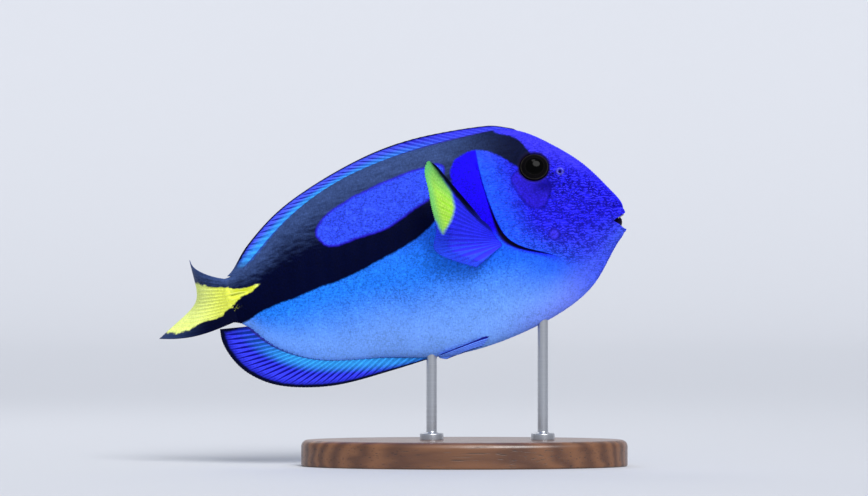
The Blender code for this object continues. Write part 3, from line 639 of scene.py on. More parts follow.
    # Painted highlight: pale streaks along the yellow wedge.
    yellow_highlight = both(ramp(tree, calculate(tree, "ADD", streaks, 0.5), 0.42, 0.68), 0.75)
    gold = blend(tree, yellow_highlight, look.yellow, look.pale_yellow)
    colour = blend(tree, marked("yellow", 0.35, 0.6), colour, gold)
    lift = calculate(tree, "MULTIPLY_ADD", tone, 0.9, 1.0)
    grey = add_node(tree, "CombineColor", {i: lift for i in range(3)}).outputs[0]
    colour = blend(tree, 1.0, colour, grey, "MULTIPLY")
    # Painted shade in the crease round the eye.
    colour = blend(tree, both(read(tree, "eyelid"), 0.85), colour, look.recess_shade)
    # Painted shade in the mouth, gill slits, nostril pits and under the scales' roots.
    colour = blend(tree, read(tree, "dark"), colour, look.recess_shade)
    tree.links.new(colour, shader.inputs["Base Color"])
    gloss = calculate(tree, "MULTIPLY_ADD", noise(tree, where, 700, 2), 0.16, 0.44)
    tree.links.new(gloss, shader.inputs["Roughness"])
    pits = calculate(tree, "MULTIPLY_ADD", worms, -0.6, noise(tree, where, 1600, 2))
    add_bump(tree, shader, pits, 0.00006)
    return material


def fin_material(name, look, paint, alpha=None):
    """A finned membrane: paint gives its colour from the fin's attributes, and rays are banded with joints."""
    material, tree, shader = new_material(
        name, 0.45, specular_ior_level=0.05
    )
    where = place_of(tree)
    uneven = calculate(tree, "MULTIPLY_ADD", noise(tree, where, 600, 2), 0.8, -0.4)
    fin = {label: read(tree, label) for label in ("along", "across", "ray", "length", "front", "rear", "rim")}
    for label in ("front", "rear", "rim"):
        fin[label] = calculate(tree, "ADD", fin[label], uneven)
    colour = paint(tree, fin)
    joints = calculate(tree, "SINE", calculate(tree, "MULTIPLY", fin["length"], 7.0))
    joints = calculate(tree, "MULTIPLY", ramp(tree, joints, 0.6, 1.0), fin["ray"])
    colour = blend(tree, calculate(tree, "MULTIPLY", joints, 0.2), colour, look.black)
    tree.links.new(toned(tree, colour, 0.7, 0.35, where), shader.inputs["Base Color"])
    if alpha:
        tree.links.new(alpha(tree, fin), shader.inputs["Alpha"])
    fine = calculate(tree, "MULTIPLY_ADD", joints, -0.5, noise(tree, where, 1500, 2))
    add_bump(tree, shader, fine, 0.00005)
    return material


def blue_fin_paint(look, ray_blue, root_length, band, dim, base, hidden=0.0, plain=0.0, dark_rear=0.0, rear_highlight=0.0):
    """Light rays over a deep membrane, azure by the body for a length and black at the margin.

    ray_blue is the rays' outer colour, band the margin's width in millimetres and dim how light the
    membrane is by the body. base is four shares: the azure grows from the first to the second place
    across the fin, and fades from the third to the fourth. hidden is how much more of the slanted front
    rays lies in the body, plain how far back the fin has one colour, dark_rear how much of its rear end
    takes the slate of the back's painted sheen, and rear_highlight the width of a painted highlight along its
    last ray.
    """

    def paint(tree, fin):
        length = calculate(tree, "SUBTRACT", fin["length"], ramp(tree, fin["across"], 0.0, 1.0, hidden, 0.0))
        near = ramp(tree, length, 1.5 * root_length, 0.5 * root_length)
        near = calculate(tree, "MULTIPLY", near, ramp(tree, fin["across"], base[0], base[1], 0.15, 1.0))
        near = calculate(tree, "MULTIPLY", near, ramp(tree, fin["across"], base[3], base[2], 0.1, 1.0))
        membrane = blend(tree, calculate(tree, "MULTIPLY", near, dim), look.fin_deep, look.fin_base)
        rays = blend(tree, near, ray_blue, look.fin_base)
        if plain:
            same = ramp(tree, fin["across"], plain, 0.3 * plain, 0.15, 0.8)
            membrane = blend(tree, same, membrane, look.plain_blue)
            rays = blend(tree, same, rays, look.plain_blue)
        colour = blend(tree, ramp(tree, fin["ray"], 0.0, 0.55), membrane, rays)
        outer = ramp(tree, fin["rim"], 3.0 * band, 0.9 * band)
        colour = blend(tree, calculate(tree, "MULTIPLY", outer, 0.6), colour, look.fin_deep)
        colour = blend(tree, ramp(tree, fin["rim"], 1.35 * band, 0.7 * band), colour, look.black)
        seam = calculate(tree, "MULTIPLY", ramp(tree, length, 1.8, 1.4), 0.8)
        colour = blend(tree, seam, colour, look.seam)
        # Painted sheen: the fin's rear end takes the back's slate.
        if dark_rear:
            rear = ramp(tree, fin["across"], 1 - dark_rear, 1 - 0.4 * dark_rear)
            colour = blend(tree, rear, colour, look.slate_sheen)
        # Painted highlight: a pale strip along the last ray, kept off the dark margin.
        if rear_highlight:
            rear = ramp(tree, fin["rear"], 1.3 * rear_highlight, 0.7 * rear_highlight)
            rear = calculate(tree, "MULTIPLY", rear, ramp(tree, fin["rim"], 1.5 * band, 2.5 * band))
            colour = blend(tree, rear, colour, look.rear_edge_highlight)
        return colour

    return paint


def caudal_paint(look):
    """A yellow wedge that widens towards the margin, between the black lower and upper rays. Painted sheen turns the
    black to slate towards the top and the tips, and painted highlight pales the yellow towards the margin.
    """

    def paint(tree, fin):
        along = fin["along"]
        jag = calculate(tree, "MULTIPLY_ADD", noise(tree, place_of(tree), 420, 2), 0.09, -0.045)
        place = calculate(tree, "ADD", fin["across"], jag)
        low = ramp(tree, along, 0.0, 0.17, 0.32, 0.205)
        low = calculate(tree, "SUBTRACT", low, ramp(tree, along, 0.38, 0.75, 0.0, 0.125))
        high = calculate(tree, "MULTIPLY_ADD", along, 0.03, 0.80)
        above_low = calculate(tree, "SUBTRACT", place, low)
        below_high = calculate(tree, "SUBTRACT", high, place)
        wedge = ramp(tree, calculate(tree, "MINIMUM", above_low, below_high), -0.015, 0.025)
        # Painted sheen: the dark rays turn slate towards the top and towards the tips.
        streaks = noise(tree, place_of(tree, (130, 900, 900), True), 1, 2)
        height = calculate(tree, "MULTIPLY_ADD", streaks, 0.25, -0.125)
        height = calculate(tree, "ADD", fin["across"], height)
        slate_sheen = calculate(tree, "MAXIMUM", ramp(tree, height, 0.71, 1.0), ramp(tree, along, 0.3, 1.0, 0.0, 0.6))
        dark = blend(tree, slate_sheen, look.black, look.slate_sheen)
        # Painted highlight: the yellow grows paler towards the margin, on top of the paler rays.
        pale = calculate(tree, "MULTIPLY_ADD", fin["ray"], 0.2, ramp(tree, along, 0.0, 0.6, 0.2, 0.8))
        gold = blend(tree, pale, look.yellow, look.pale_yellow)
        return blend(tree, wedge, dark, gold)

    return paint


def pectoral_paint(look):
    """Deep blue with light rays, a yellow patch by its outline, a black leading edge widened with painted shadow,
    violet below.
    """

    def paint(tree, fin):
        low = ramp(tree, fin["across"], 0.55, 0.85)
        membrane = blend(tree, low, look.fin_deep, look.pale_violet)
        membrane = blend(tree, 0.6, membrane, look.pectoral_blue)
        rays = blend(tree, calculate(tree, "MULTIPLY", low, 0.1), look.pectoral_blue, look.fin_base)
        colour = blend(tree, ramp(tree, fin["ray"], 0.1, 0.8), membrane, rays)
        jag = calculate(tree, "MULTIPLY_ADD", noise(tree, place_of(tree), 260, 2), 1.2, -0.6)
        patch = calculate(tree, "ADD", read(tree, "patch"), jag)
        lemon = blend(tree, calculate(tree, "MULTIPLY", fin["ray"], 0.2), look.lime, look.pale_yellow)
        lemon = blend(tree, ramp(tree, fin["rim"], 5.0, 0.5, 0.0, 0.75), lemon, look.leaf)
        lemon = blend(tree, ramp(tree, fin["across"], 0.3, 0.05, 0.0, 0.6), lemon, look.leaf)
        colour = blend(tree, ramp(tree, patch, -0.9, 0.9), colour, lemon)
        # The black leading edge, widened by painted shadow, weaker towards the fin's root.
        edge = calculate(tree, "MULTIPLY", ramp(tree, fin["front"], 3.8, 2.0), ramp(tree, fin["along"], 0.0, 0.4, 0.6, 1.0))
        return blend(tree, edge, colour, look.black)

    return paint


def pelvic_paint(look):
    """The flank's blue with faint rays and dark edges."""

    def paint(tree, fin):
        colour = blend(tree, calculate(tree, "MULTIPLY_ADD", fin["ray"], 0.4, 0.35), look.throat_blue, look.belly_blue)
        edge = calculate(tree, "MINIMUM", fin["front"], fin["rear"])
        return blend(tree, ramp(tree, edge, 0.75, 0.35), colour, look.line_and_shadow_blue)

    return paint


def eye_material(look):
    """A wide black pupil, a dark brown iris with fine spokes, and a thin dull golden ring at its edge."""
    material, tree, shader = new_material("tang_eye", 0.06, specular_ior_level=0.035)
    radius, spokes = read(tree, "radius"), read(tree, "spokes")
    shade = noise(tree, place_of(tree), 900, 2)
    streak = calculate(tree, "MULTIPLY", spokes, shade)
    iris = blend(tree, streak, look.iris, look.iris_light)
    colour = blend(tree, ramp(tree, radius, 0.6, 0.66), (0.001, 0.001, 0.001, 1), iris)
    thin = calculate(tree, "MULTIPLY", ramp(tree, radius, 0.6, 0.63), ramp(tree, radius, 0.665, 0.635))
    colour = blend(tree, calculate(tree, "MULTIPLY", thin, 0.12), colour, look.gold)
    outer = calculate(tree, "MULTIPLY", ramp(tree, radius, 0.86, 0.89), ramp(tree, radius, 0.94, 0.915))
    outer = calculate(tree, "MULTIPLY", outer, calculate(tree, "MULTIPLY_ADD", shade, 1.0, 0.0))
    colour = blend(tree, outer, colour, look.gold)
    tree.links.new(colour, shader.inputs["Base Color"])
    return material


def bone_material(name, colour, tip):
    """Ivory, finely streaked with the second colour."""
    material, tree, shader = new_material(name, 0.3, coat=0.3)
    streak = noise(tree, place_of(tree, (300, 300, 2400)), 1, 2)
    shade = blend(tree, calculate(tree, "MULTIPLY", streak, 0.5), colour, tip)
    tree.links.new(shade, shader.inputs["Base Color"])
    add_bump(tree, shader, streak, 0.00003)
    return material


def wood_material(look):
    """Walnut: long growth bands with fine pores along the base, under a satin lacquer."""
    material, tree, shader = new_material("walnut", 0.38, coat=0.35, coat_roughness=0.25)
    along = place_of(tree, (7, 60, 60))
    bend = noise(tree, place_of(tree, (10, 26, 26)), 1, 3)
    rings = add_node(tree, "TexWave", {
        "Vector": along, "Scale": 1.3, "Distortion": 5.5, "Detail": 3, "Detail Scale": 1.4,
    }, bands_direction="Y").outputs["Fac"]
    colour = blend(tree, rings, look.wood_dark, look.wood)
    colour = blend(tree, calculate(tree, "MULTIPLY", bend, 0.5), colour, look.wood_dark)
    pores = ramp(tree, noise(tree, place_of(tree, (60, 1500, 1500)), 1, 2), 0.58, 0.72)
    colour = blend(tree, calculate(tree, "MULTIPLY", pores, 0.6), colour, look.wood_pore)
    tree.links.new(colour, shader.inputs["Base Color"])
    tree.links.new(calculate(tree, "MULTIPLY_ADD", pores, 0.2, 0.34), shader.inputs["Roughness"])
    add_bump(tree, shader, calculate(tree, "MULTIPLY", pores, -1.0), 0.00008, 0.6)
    return material


def steel_material(look):
    """Stainless steel brushed round the rod."""
    material, tree, shader = new_material("brushed_steel", 0.3, metallic=1.0)
    lines = noise(tree, place_of(tree, (40, 40, 3500)), 1, 3)
    colour = blend(tree, calculate(tree, "MULTIPLY", lines, 0.5), look.steel, (0.3, 0.31, 0.33, 1))
    tree.links.new(colour, shader.inputs["Base Color"])
    tree.links.new(calculate(tree, "MULTIPLY_ADD", lines, 0.25, 0.2), shader.inputs["Roughness"])
    add_bump(tree, shader, lines, 0.00001)
    return material


# What a user may change


def colour_of(name, description, colour):
    return FloatVectorProperty(
        name=name, description=description, default=colour, size=4, min=0, max=1, subtype="COLOR"
    )


class TangColours(bpy.types.PropertyGroup):
    head_blue: colour_of("Head blue", "Snout and cheek", rgb(32, 30, 240))
    cover_blue: colour_of("Cover blue", "Gill cover", rgb(30, 74, 252))
    # Also the painted highlight along the top of the head.
    forehead: colour_of("Forehead", "Pale violet along the forehead", rgb(78, 72, 255))
    throat_blue: colour_of("Throat blue", "Throat and chin", rgb(76, 104, 254))
    throat_pale: colour_of("Pale throat", "Low edge of the throat and chest", rgb(124, 138, 255))
    royal_blue: colour_of("Royal blue", "Shoulder behind the gill cover", rgb(24, 0, 244))
    back_blue: colour_of("Back blue", "Upper flank", rgb(36, 90, 254))
    flank_blue: colour_of("Flank blue", "Middle of the flank", rgb(38, 128, 253))
    belly_blue: colour_of("Belly blue", "Underside", rgb(122, 172, 255))
    shoulder_blue: colour_of("Shoulder blue", "Flank behind and below the gill slit", rgb(28, 100, 252))
    rear_blue: colour_of("Rear blue", "Flank towards the tail", rgb(28, 132, 253))
    oval_blue: colour_of("Oval blue", "The oval inside the black band", rgb(53, 83, 247))
    violet: colour_of("Violet", "Patch under the eye, cheek spot and the oval's edge", rgb(40, 26, 190))
    # Also the painted shadow below the eye.
    line_and_shadow_blue: colour_of("Face lines", "Wavy lines on the snout", rgb(10, 4, 120))
    nostril_rim: colour_of("Nostril rim", "Pale rim of the front nostril", rgb(128, 128, 196))
    black: colour_of("Band black", "Black band, tail's stem and fin margins", rgb(0, 4, 38))
    # Painted sheen: black lightened to slate towards the top of the back, on the tail fin's dark rays and at the
    # dorsal fin's rear end.
    slate_sheen: colour_of("Slate", "Band along the top of the back", rgb(56, 76, 124))
    seam: colour_of("Fin seam", "Line where a fin leaves the body", rgb(44, 40, 130))
    yellow: colour_of("Yellow", "Wedge on the tail", rgb(220, 226, 54))
    # Also the painted highlights on the tail's yellow.
    pale_yellow: colour_of("Pale yellow", "Rays in the yellow parts", rgb(242, 255, 146))
    lime: colour_of("Lime", "Outer pectoral fin", rgb(150, 214, 56))
    leaf: colour_of("Leaf green", "Margin of the yellow on the pectoral fin", rgb(92, 188, 110))
    fin_deep: colour_of("Deep fin blue", "Membranes between the rays", rgb(10, 8, 130))
    fin_blue: colour_of("Fin blue", "Rays of the anal fin", rgb(58, 66, 252))
    pectoral_blue: colour_of("Pectoral blue", "Rays of the pectoral fins", rgb(42, 46, 238))
    plain_blue: colour_of("Front fin blue", "Front end of the dorsal fin", rgb(62, 62, 240))
    dorsal_blue: colour_of("Dorsal blue", "Rays of the dorsal fin", rgb(80, 100, 250))
    fin_base: colour_of("Fin base", "Fins near the body", rgb(58, 176, 255))
    # Painted highlight along the anal fin's last ray.
    rear_edge_highlight: colour_of("Pale edge", "Rear edge of the anal fin", rgb(150, 190, 200))
    pale_violet: colour_of("Pale violet", "Thin lower part of the pectoral fins", rgb(56, 44, 222))
    # Painted shade in the mouth, nostrils, gill slits, the crease round the eye and under the scales.
    recess_shade: colour_of("Mouth inside", "Inside of the mouth, nostrils and gill slit", rgb(24, 16, 40))
    iris: colour_of("Iris", "Dark part of the iris", rgb(5, 5, 8))
    iris_light: colour_of("Iris spokes", "Spokes in the iris", rgb(16, 11, 11))
    gold: colour_of("Eye ring", "Thin ring of the eye", rgb(54, 50, 46))
    tooth: colour_of("Teeth", "Teeth", rgb(196, 196, 196))
    tooth_root: colour_of("Tooth roots", "Roots of the teeth", rgb(150, 142, 120))
    wood: colour_of("Wood", "Light bands of the stand's wood", rgb(128, 84, 52))
    wood_dark: colour_of("Dark wood", "Dark bands of the stand's wood", rgb(84, 50, 30))
    wood_pore: colour_of("Pores", "Pores of the stand's wood", rgb(42, 24, 15))
    steel: colour_of("Steel", "Rods of the stand", rgb(200, 202, 206))


class TangSizes(bpy.types.PropertyGroup):
    body_pitch: FloatProperty(
        name="Body scale pitch", description="Distance between rows of scales on the body",
        default=0.76 * MM, min=0.7 * MM, max=3 * MM, unit="LENGTH",
    )
    head_pitch: FloatProperty(
        name="Head scale pitch", description="Distance between rows of scales on the head",
        default=0.58 * MM, min=0.5 * MM, max=2 * MM, unit="LENGTH",
    )
    scale_rise: FloatProperty(
        name="Scale rise", description="Height of a scale's free edge over the skin",
        default=0.11 * MM, min=0.02 * MM, max=COAT_DEPTH * MM, unit="LENGTH",
    )
    membrane: FloatProperty(
        name="Membrane", description="Thickness of a fin between its rays",
        default=0.24 * MM, min=0.1 * MM, max=0.5 * MM, unit="LENGTH",
    )
    ray: FloatProperty(
        name="Ray", description="How much thicker a fin is on a ray, where it leaves the body",
        default=0.5 * MM, min=0.1 * MM, max=0.7 * MM, unit="LENGTH",
    )
    base_length: FloatProperty(
        name="Base length", description="Length of the stand's oval base",
        default=124 * MM, min=100 * MM, max=130 * MM, unit="LENGTH",
    )
    base_width: FloatProperty(
        name="Base width", description="Width of the stand's oval base",
        default=62 * MM, min=50 * MM, max=64 * MM, unit="LENGTH",
    )


class TangStage(bpy.types.PropertyGroup):
    floor: colour_of("Floor", "Pale floor and backdrop", (0.58, 0.59, 0.62, 1))
    sun: FloatProperty(name="Soft light", description="Strength of the wide light in front", default=2.6, min=0)
    room: FloatProperty(name="Room light", description="Strength of the light all round", default=0.54, min=0)
    key: FloatProperty(name="Lamp", description="Power of the small lamp above", default=0.5, min=0, unit="POWER")
    lens: FloatProperty(name="Lens", description="Focal length of the camera in millimetres", default=200, min=50, max=300)


class TangSettings(bpy.types.PropertyGroup):
    colours: PointerProperty(type=TangColours)
    sizes: PointerProperty(type=TangSizes)
    stage: PointerProperty(type=TangStage)


class Look:
    """The chosen colours as plain tuples."""

    def __init__(self, scene):
        colours = scene.tang.colours
        for label in TangColours.__annotations__:
            setattr(self, label, tuple(getattr(colours, label)))


def skin_of(look):
    return bpy.data.materials.get("tang_skin") or skin_material(look)


class PieceOperator(bpy.types.Operator):
    """Makes one group of the model's pieces."""

    bl_options = {"REGISTER", "UNDO"}

    def execute(self, context):
        self.make(Look(context.scene), context.scene.tang)
        return {"FINISHED"}


class TANG_OT_skin(PieceOperator):
    """One skin from the lips to the root of the tail fin, with mouth, nostrils, orbits and gill slits"""

    bl_idname = "tang.skin"
    bl_label = "Skin"

    def make(self, look, settings):
        crown = [(0.68, 0.24, 1.8), (-0.1, 0.3, 0.9)]
        half = warped(169, -math.pi / 2, math.pi / 2, crown)
        angle = np.concatenate([half, math.pi - half[-2:0:-1]])
        snout = np.linspace(0, math.sqrt(10), 62) ** 2
        head = np.concatenate([snout, np.linspace(10, 42, 98)[1:], np.linspace(42, 50, 18)[1:]]) / 50
        slit = np.array([0.02, 0.12, 0.3, 0.6, 1.1, 1.7, 2.5, 3.4])
        trunk = warped(88, 0, 1, [(0.9, 0.05, 1.6)])[1:]
        edge = gill_edge(np.sin(angle))
        rows = [share * edge for share in head] + [edge + behind for behind in slit]
        start = edge + slit[-1]
        rows += [start + (SKIN_END - start) * share for share in trunk]
        s = np.array(rows)
        around = np.broadcast_to(angle, s.shape)
        plain = ring_point(s, around)
        normal = np.where((s > 0)[..., None], outward(s, around), (-1.0, 0.0, 0.0))
        height = relief(s, around, plain[..., 2]) - COAT_DEPTH
        points = plain + normal * (height * (s > 0))[..., None]
        flat = points.reshape(-1, 3)
        flat, inside = with_mouth(flat, normal.reshape(-1, 3))
        z = plain[..., 2].ravel()
        values = markings(s.ravel(), z, np.sin(around).ravel())
        slits = gill_slit(s, around).ravel() / 1.3
        pits = sum(1 - step(np.hypot(s - a, plain[..., 2] - b), 0.4 * r, r) for a, b, r in NOSTRILS)
        # Painted shade inside the mouth, the gill slits and the nostril pits, by their depth.
        values["dark"] = np.clip(np.maximum(np.maximum(inside, slits), pits.ravel()), 0, 1)
        close = flat.reshape(s.shape + (3,))[-1].mean(axis=0)
        flat = np.concatenate([flat, np.broadcast_to(close, (len(angle), 3))])
        values = {label: np.concatenate([v, v[-len(angle):]]) for label, v in values.items()}
        triangles = grid_triangles(len(s) + 1, len(angle), wrap=True)
        skin = mesh_piece("fish_skin", placed(flat), triangles, skin_of(look), values)
        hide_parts("head", "trunk", "tail_stem")


def scale_roots(first, last, pitch, across, draw):
    """Roots of scales in staggered rows: each row is laid out by its length up and down from mid flank."""
    stations = np.arange(first, last, pitch)
    fine = np.linspace(-math.pi / 2, math.pi / 2, 721)
    ring = ring_point(stations[:, None], fine[None])
    steps = np.linalg.norm(np.diff(ring, axis=1), axis=-1)
    total = np.concatenate([np.zeros((len(stations), 1)), steps.cumsum(axis=1)], axis=1)
    s, angle = [], []
    for row, (station, length) in enumerate(zip(stations, total - total[:, 360:361])):
        place = (np.arange(-120, 121) + 0.5 * (row % 2)) * across
        place = place[(place > length[0]) & (place < length[-1])]
        angle.append(np.interp(place + draw.normal(0, 0.1 * across, len(place)), length, fine))
        s.append(station + draw.normal(0, 0.12 * pitch, len(place)))
    s, angle = np.concatenate(s), np.concatenate(angle)
    return np.tile(s, 2), np.concatenate([angle, math.pi - angle])


SCALE_SHAPE = np.array([
    # tailwards, across, height: the rim from its root round to its tip, the crown and the keel
    (-0.52, 0.0, -0.35), (-0.2, 0.5, 0.1), (0.42, 0.47, 0.75), (0.85, 0.0, 1.0),
    (0.42, -0.47, 0.75), (-0.2, -0.5, 0.1), (0.22, 0.0, 1.0), (0.0, 0.0, -1.4),
])
SCALE_TRIANGLES = np.array(
    [(6, i, (i + 1) % 6) for i in range(6)] + [(7, (i + 1) % 6, i) for i in range(6)]
)


def bare(s, angle):
    """Where no scale grows: eye, nostrils, gill slit and the groove of the tail's spine."""
    plain = ring_point(s, angle)
    z, level = plain[:, 2], np.sin(angle)
    found = orbit_share(s, z) < 1.3
    for nostril_s, nostril_z, radius in NOSTRILS:
        found |= np.hypot(s - nostril_s, z - nostril_z) < radius + 0.8
    behind = s - gill_edge(level)
    clear = np.maximum(0.4 + 1.3 * slit_depth(level), slit_width(level))
    found |= (slit_depth(level) > 0.2) & (behind > -0.9) & (behind < clear)
    skin = plain[s < MOUTH_CORNER[0] + 4]
    away = with_mouth(skin.copy(), np.zeros_like(skin) + (-1, 0, 0))[0] - skin
    found[s < MOUTH_CORNER[0] + 4] |= np.linalg.norm(away, axis=-1) > 0.05
    spine = (np.abs(s - SPINE_S) < 6.5) & (np.abs(z - SPINE_Z) < 2.4)
    return found | spine


def coat_piece(name, s, angle, pitch, across, rise, draw, look):
    """Scales as closed plates: the template is laid along the skin's slopes at each root."""
    nudge = 0.05
    root = skin_point(s, angle)
    along = skin_point(s + nudge, angle) - skin_point(s - nudge, angle)
    along /= np.linalg.norm(along, axis=-1, keepdims=True)
    normal = outward(s, angle)
    sideways = np.cross(normal, along)
    sideways /= np.linalg.norm(sideways, axis=-1, keepdims=True)
    size = draw.normal(1, 0.06, len(s)) * (0.6 + 0.4 * step(s, 2, 12)) * (1 - 0.35 * step(s, 149, 156))
    size = size[:, None]
    turn = draw.normal(0, 0.07, len(s))[:, None]
    forward, left = SCALE_SHAPE[:, 0][None] * pitch * size, SCALE_SHAPE[:, 1][None] * across * 1.1 * size
    forward, left = forward - turn * left, left + turn * forward
    up = SCALE_SHAPE[:, 2][None] * rise * draw.normal(1, 0.12, len(s))[:, None]
    points = root[:, None] + forward[..., None] * along[:, None] + left[..., None] * sideways[:, None]
    points = points + up[..., None] * normal[:, None]
    flat = points.reshape(-1, 3)
    middle, height = (back(flat[:, 0]) + belly(flat[:, 0])) / 2, (back(flat[:, 0]) - belly(flat[:, 0])) / 2
    level = np.clip((flat[:, 2] - middle) / height, -1, 1)
    values = markings(flat[:, 0], flat[:, 2], level)
    values["tone"] = np.repeat(draw.normal(0, 0.055, len(s)), len(SCALE_SHAPE))
    # Painted shade on each scale's root and keel, where it tucks under its neighbours.
    values["dark"] = np.tile(np.where(SCALE_SHAPE[:, 2] < 0, 0.06, 0), len(s))
    patch = SCALE_SHAPE[:, :2] * (0.0022, 0.003)
    place = np.stack([0.01 + 0.97 * s / SKIN_END, (angle + math.pi / 2) / (2 * math.pi)], -1)
    uv = (place[:, None] + patch[None]).reshape(-1, 2)
    offset = np.arange(len(s))[:, None, None] * len(SCALE_SHAPE)
    triangles = (SCALE_TRIANGLES[None] + offset).reshape(-1, 3)
    coat = mesh_piece(name, placed(flat), triangles, skin_of(look), values, uv)
    coat.data.set_sharp_from_angle(angle=math.radians(60))


class TANG_OT_scales(PieceOperator):
    """The coat: small overlapping scales in rows on the head and on both flanks"""

    bl_idname = "tang.scales"
    bl_label = "Scales"

    def make(self, look, settings):
        draw = np.random.default_rng(31)
        sizes = settings.sizes
        rise = sizes.scale_rise / MM
        for part, first, last, pitch in (
            ("head", 2.5, 52.0, sizes.head_pitch / MM), ("body", 24.0, 155.6, sizes.body_pitch / MM),
        ):
            across = 0.88 * pitch
            s, angle = scale_roots(first, last, pitch, across, draw)
            behind = s - gill_edge(np.sin(angle))
            kept = (behind < 0.2) if part == "head" else (behind >= 0.2)
            kept &= ~bare(s, angle)
            for side, half in (("right", angle < math.pi / 2), ("left", angle >= math.pi / 2)):
                here = kept & half
                coat_piece(f"coat_{part}_{side}", s[here], angle[here], pitch, across, rise, draw, look)


def fin_piece(name, membrane_at, rays, rows, material, sizes, per_ray=10, spines=0, flesh=1.1, sink=0.0, patch=None, stem=0.0):
    """A fin as two sheets that meet at its rim.

    The sheet's middle is membrane_at(u, v), for shares across and along the rays. Its thickness is the
    membrane's, plus flesh that fades from the root by the fourth power, plus a bell over the distance
    to the nearest ray. A soft ray parts in two and then in four on its way to the margin, which is cut
    in a little between the rays. patch is the outline of a marking on it. Where stem is given, the
    flesh is an oval that thick, which carries the body on, and the rays rise out of it.
    """
    u = np.linspace(0, 1, (rays - 1) * per_ray + 1)
    v = np.concatenate([[-sink, -0.6 * sink, -0.3 * sink] if stem else [-sink], np.linspace(0, 1, rows) ** 0.9])
    across, along = np.meshgrid(u, v, indexing="ij")
    place = across * (rays - 1)
    soft = step(place, spines - 0.5, spines + 0.5)
    first = 0.25 * step(along, 0.25, 1.0) * soft
    second = 0.115 * step(along, 0.55, 1.05) * soft
    away = np.abs(np.abs(np.abs(place - np.round(place)) - first) - second)
    width = 0.15 - 0.05 * step(along, 0.4, 0.9) * soft
    ridge = bell(away, 0, width)
    middle = membrane_at(across, along * (1 - 0.016 * (1 - ridge) * step(along, 0.7, 1)))
    normal = np.cross(np.gradient(middle, axis=0), np.gradient(middle, axis=1))
    normal /= np.maximum(np.linalg.norm(normal, axis=-1, keepdims=True), 1e-12)
    near_root = np.clip(1 - along, 0, 1)
    membrane, ray = sizes.membrane / MM, sizes.ray / MM
    thick = (flesh - membrane) * near_root**6
    rise = ray * ridge * (0.2 + 0.8 * near_root)
    if stem:
        thick = stem * np.sqrt(np.clip(1 - (2 * across - 1) ** 2, 0, 1)) * near_root**6
        rise = rise * step(along, -0.02, 0.2)
    half = (membrane + thick + rise) / 2
    border = np.minimum(np.minimum(across, 1 - across) * (rays - 1) * per_ray, (1 - along) * rows)
    half *= np.sqrt(np.clip(border / 2, 0, 1))
    if sink:
        half *= np.sqrt(np.clip((along + sink) / (0.4 * sink), 0, 1))
    faces = [middle + sign * half[..., None] * normal for sign in (1, -1)]
    steps = np.linalg.norm(np.diff(middle, axis=1), axis=-1)
    length = np.concatenate([np.zeros((len(u), 1)), steps.cumsum(axis=1)], axis=1)
    steps = np.linalg.norm(np.diff(middle, axis=0), axis=-1)
    front = np.concatenate([np.zeros((1, len(v))), steps.cumsum(axis=0)])
    rear, rim = front[-1:] - front, length[:, -1:] - length
    rim = np.minimum(rim, np.minimum(front, rear) + (1 - along) * 2)
    values = {"along": along, "across": across, "ray": ridge, "length": length}
    values |= {"front": front, "rear": rear, "rim": rim}
    if patch:
        values["patch"] = depth_in(middle[..., 0].ravel(), middle[..., 2].ravel(), outline(patch))
    values = {label: np.concatenate([v.ravel(), v.ravel()]) for label, v in values.items()}
    near = grid_triangles(len(u), len(v))
    other = near[:, ::-1] + across.size
    points = np.concatenate([face.reshape(-1, 3) for face in faces])
    obj = mesh_piece(name, placed(points), np.concatenate([near, other]), material, values)
    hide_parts(name.replace("_rays", ""))
    return obj


def straight(start_of, end_of):
    """Points on straight rays between two lines."""

    def membrane_at(u, v):
        start, end = start_of(u), end_of(u)
        return start + (end - start) * v[..., None]

    return membrane_at


def upright(s, z):
    return np.stack([s, 0 * s, z + 0 * s], -1)


DORSAL_START, DORSAL_END = 32.5, 150.8
DORSAL_EDGE = (
    (32.5, 39.6), (36, 41.6), (39, 42.8), (42, 43.9), (48, 44.9), (60, 45.6), (75, 45.5), (90, 43.5), (104, 39.8),
    (118, 34.8), (132, 27.9), (142, 20.6), (146, 17.0), (149, 13.6), (151.5, 10.9), (153.9, 9.2),
)
DORSAL_FOLD = ((0, 3), (0.08, 8), (0.2, 9.5), (0.85, 9.2), (1, 3.1))
ANAL_START, ANAL_END = 80.0, 149.3
ANAL_EDGE = (
    (0, 84, -37.3), (0.1, 93.5, -38.3), (0.2, 103, -39.1), (0.35, 118, -40), (0.53, 134, -38.2),
    (0.67, 146.5, -33.9), (0.76, 153.5, -28.8), (0.86, 158.6, -21.9), (0.95, 161.1, -14),
    (1, 160.9, -9.9),
)
CAUDAL_ROOT_LOW, CAUDAL_ROOT_HIGH = -8.5, 8.5
CAUDAL_RAY_LENGTH = ((0, 33.5), (0.25, 28), (0.5, 22.5), (0.75, 19.5), (1, 22))
CAUDAL_SWING = ((0, 30), (0.25, 54), (0.5, 74), (0.75, 77), (1, 78))
CAUDAL_BOW = 2.1  # millimetres that the lowest and the highest ray bulge at mid length
CAUDAL_RISE = ((0, -1), (0.25, 2), (0.5, 5), (0.75, 17), (1, 57))
PECTORAL_ROOT = ((0, 53.2, 7.4), (0.5, 51.7, 3.0), (1, 49.8, -1.4))
PECTORAL_EDGE = (
    (0, 67.3, 33.4), (0.06, 69.6, 35.6), (0.13, 71.8, 33.4), (0.25, 72.2, 26.7), (0.4, 72.4, 18.9),
    (0.55, 72.2, 12.1), (0.68, 73.5, 7), (0.8, 74.5, 2.3), (0.9, 69.5, -2.2), (1, 60.3, -7.2),
)
PECTORAL_OUT = ((0, 18), (0.5, 13), (1, 5.5))
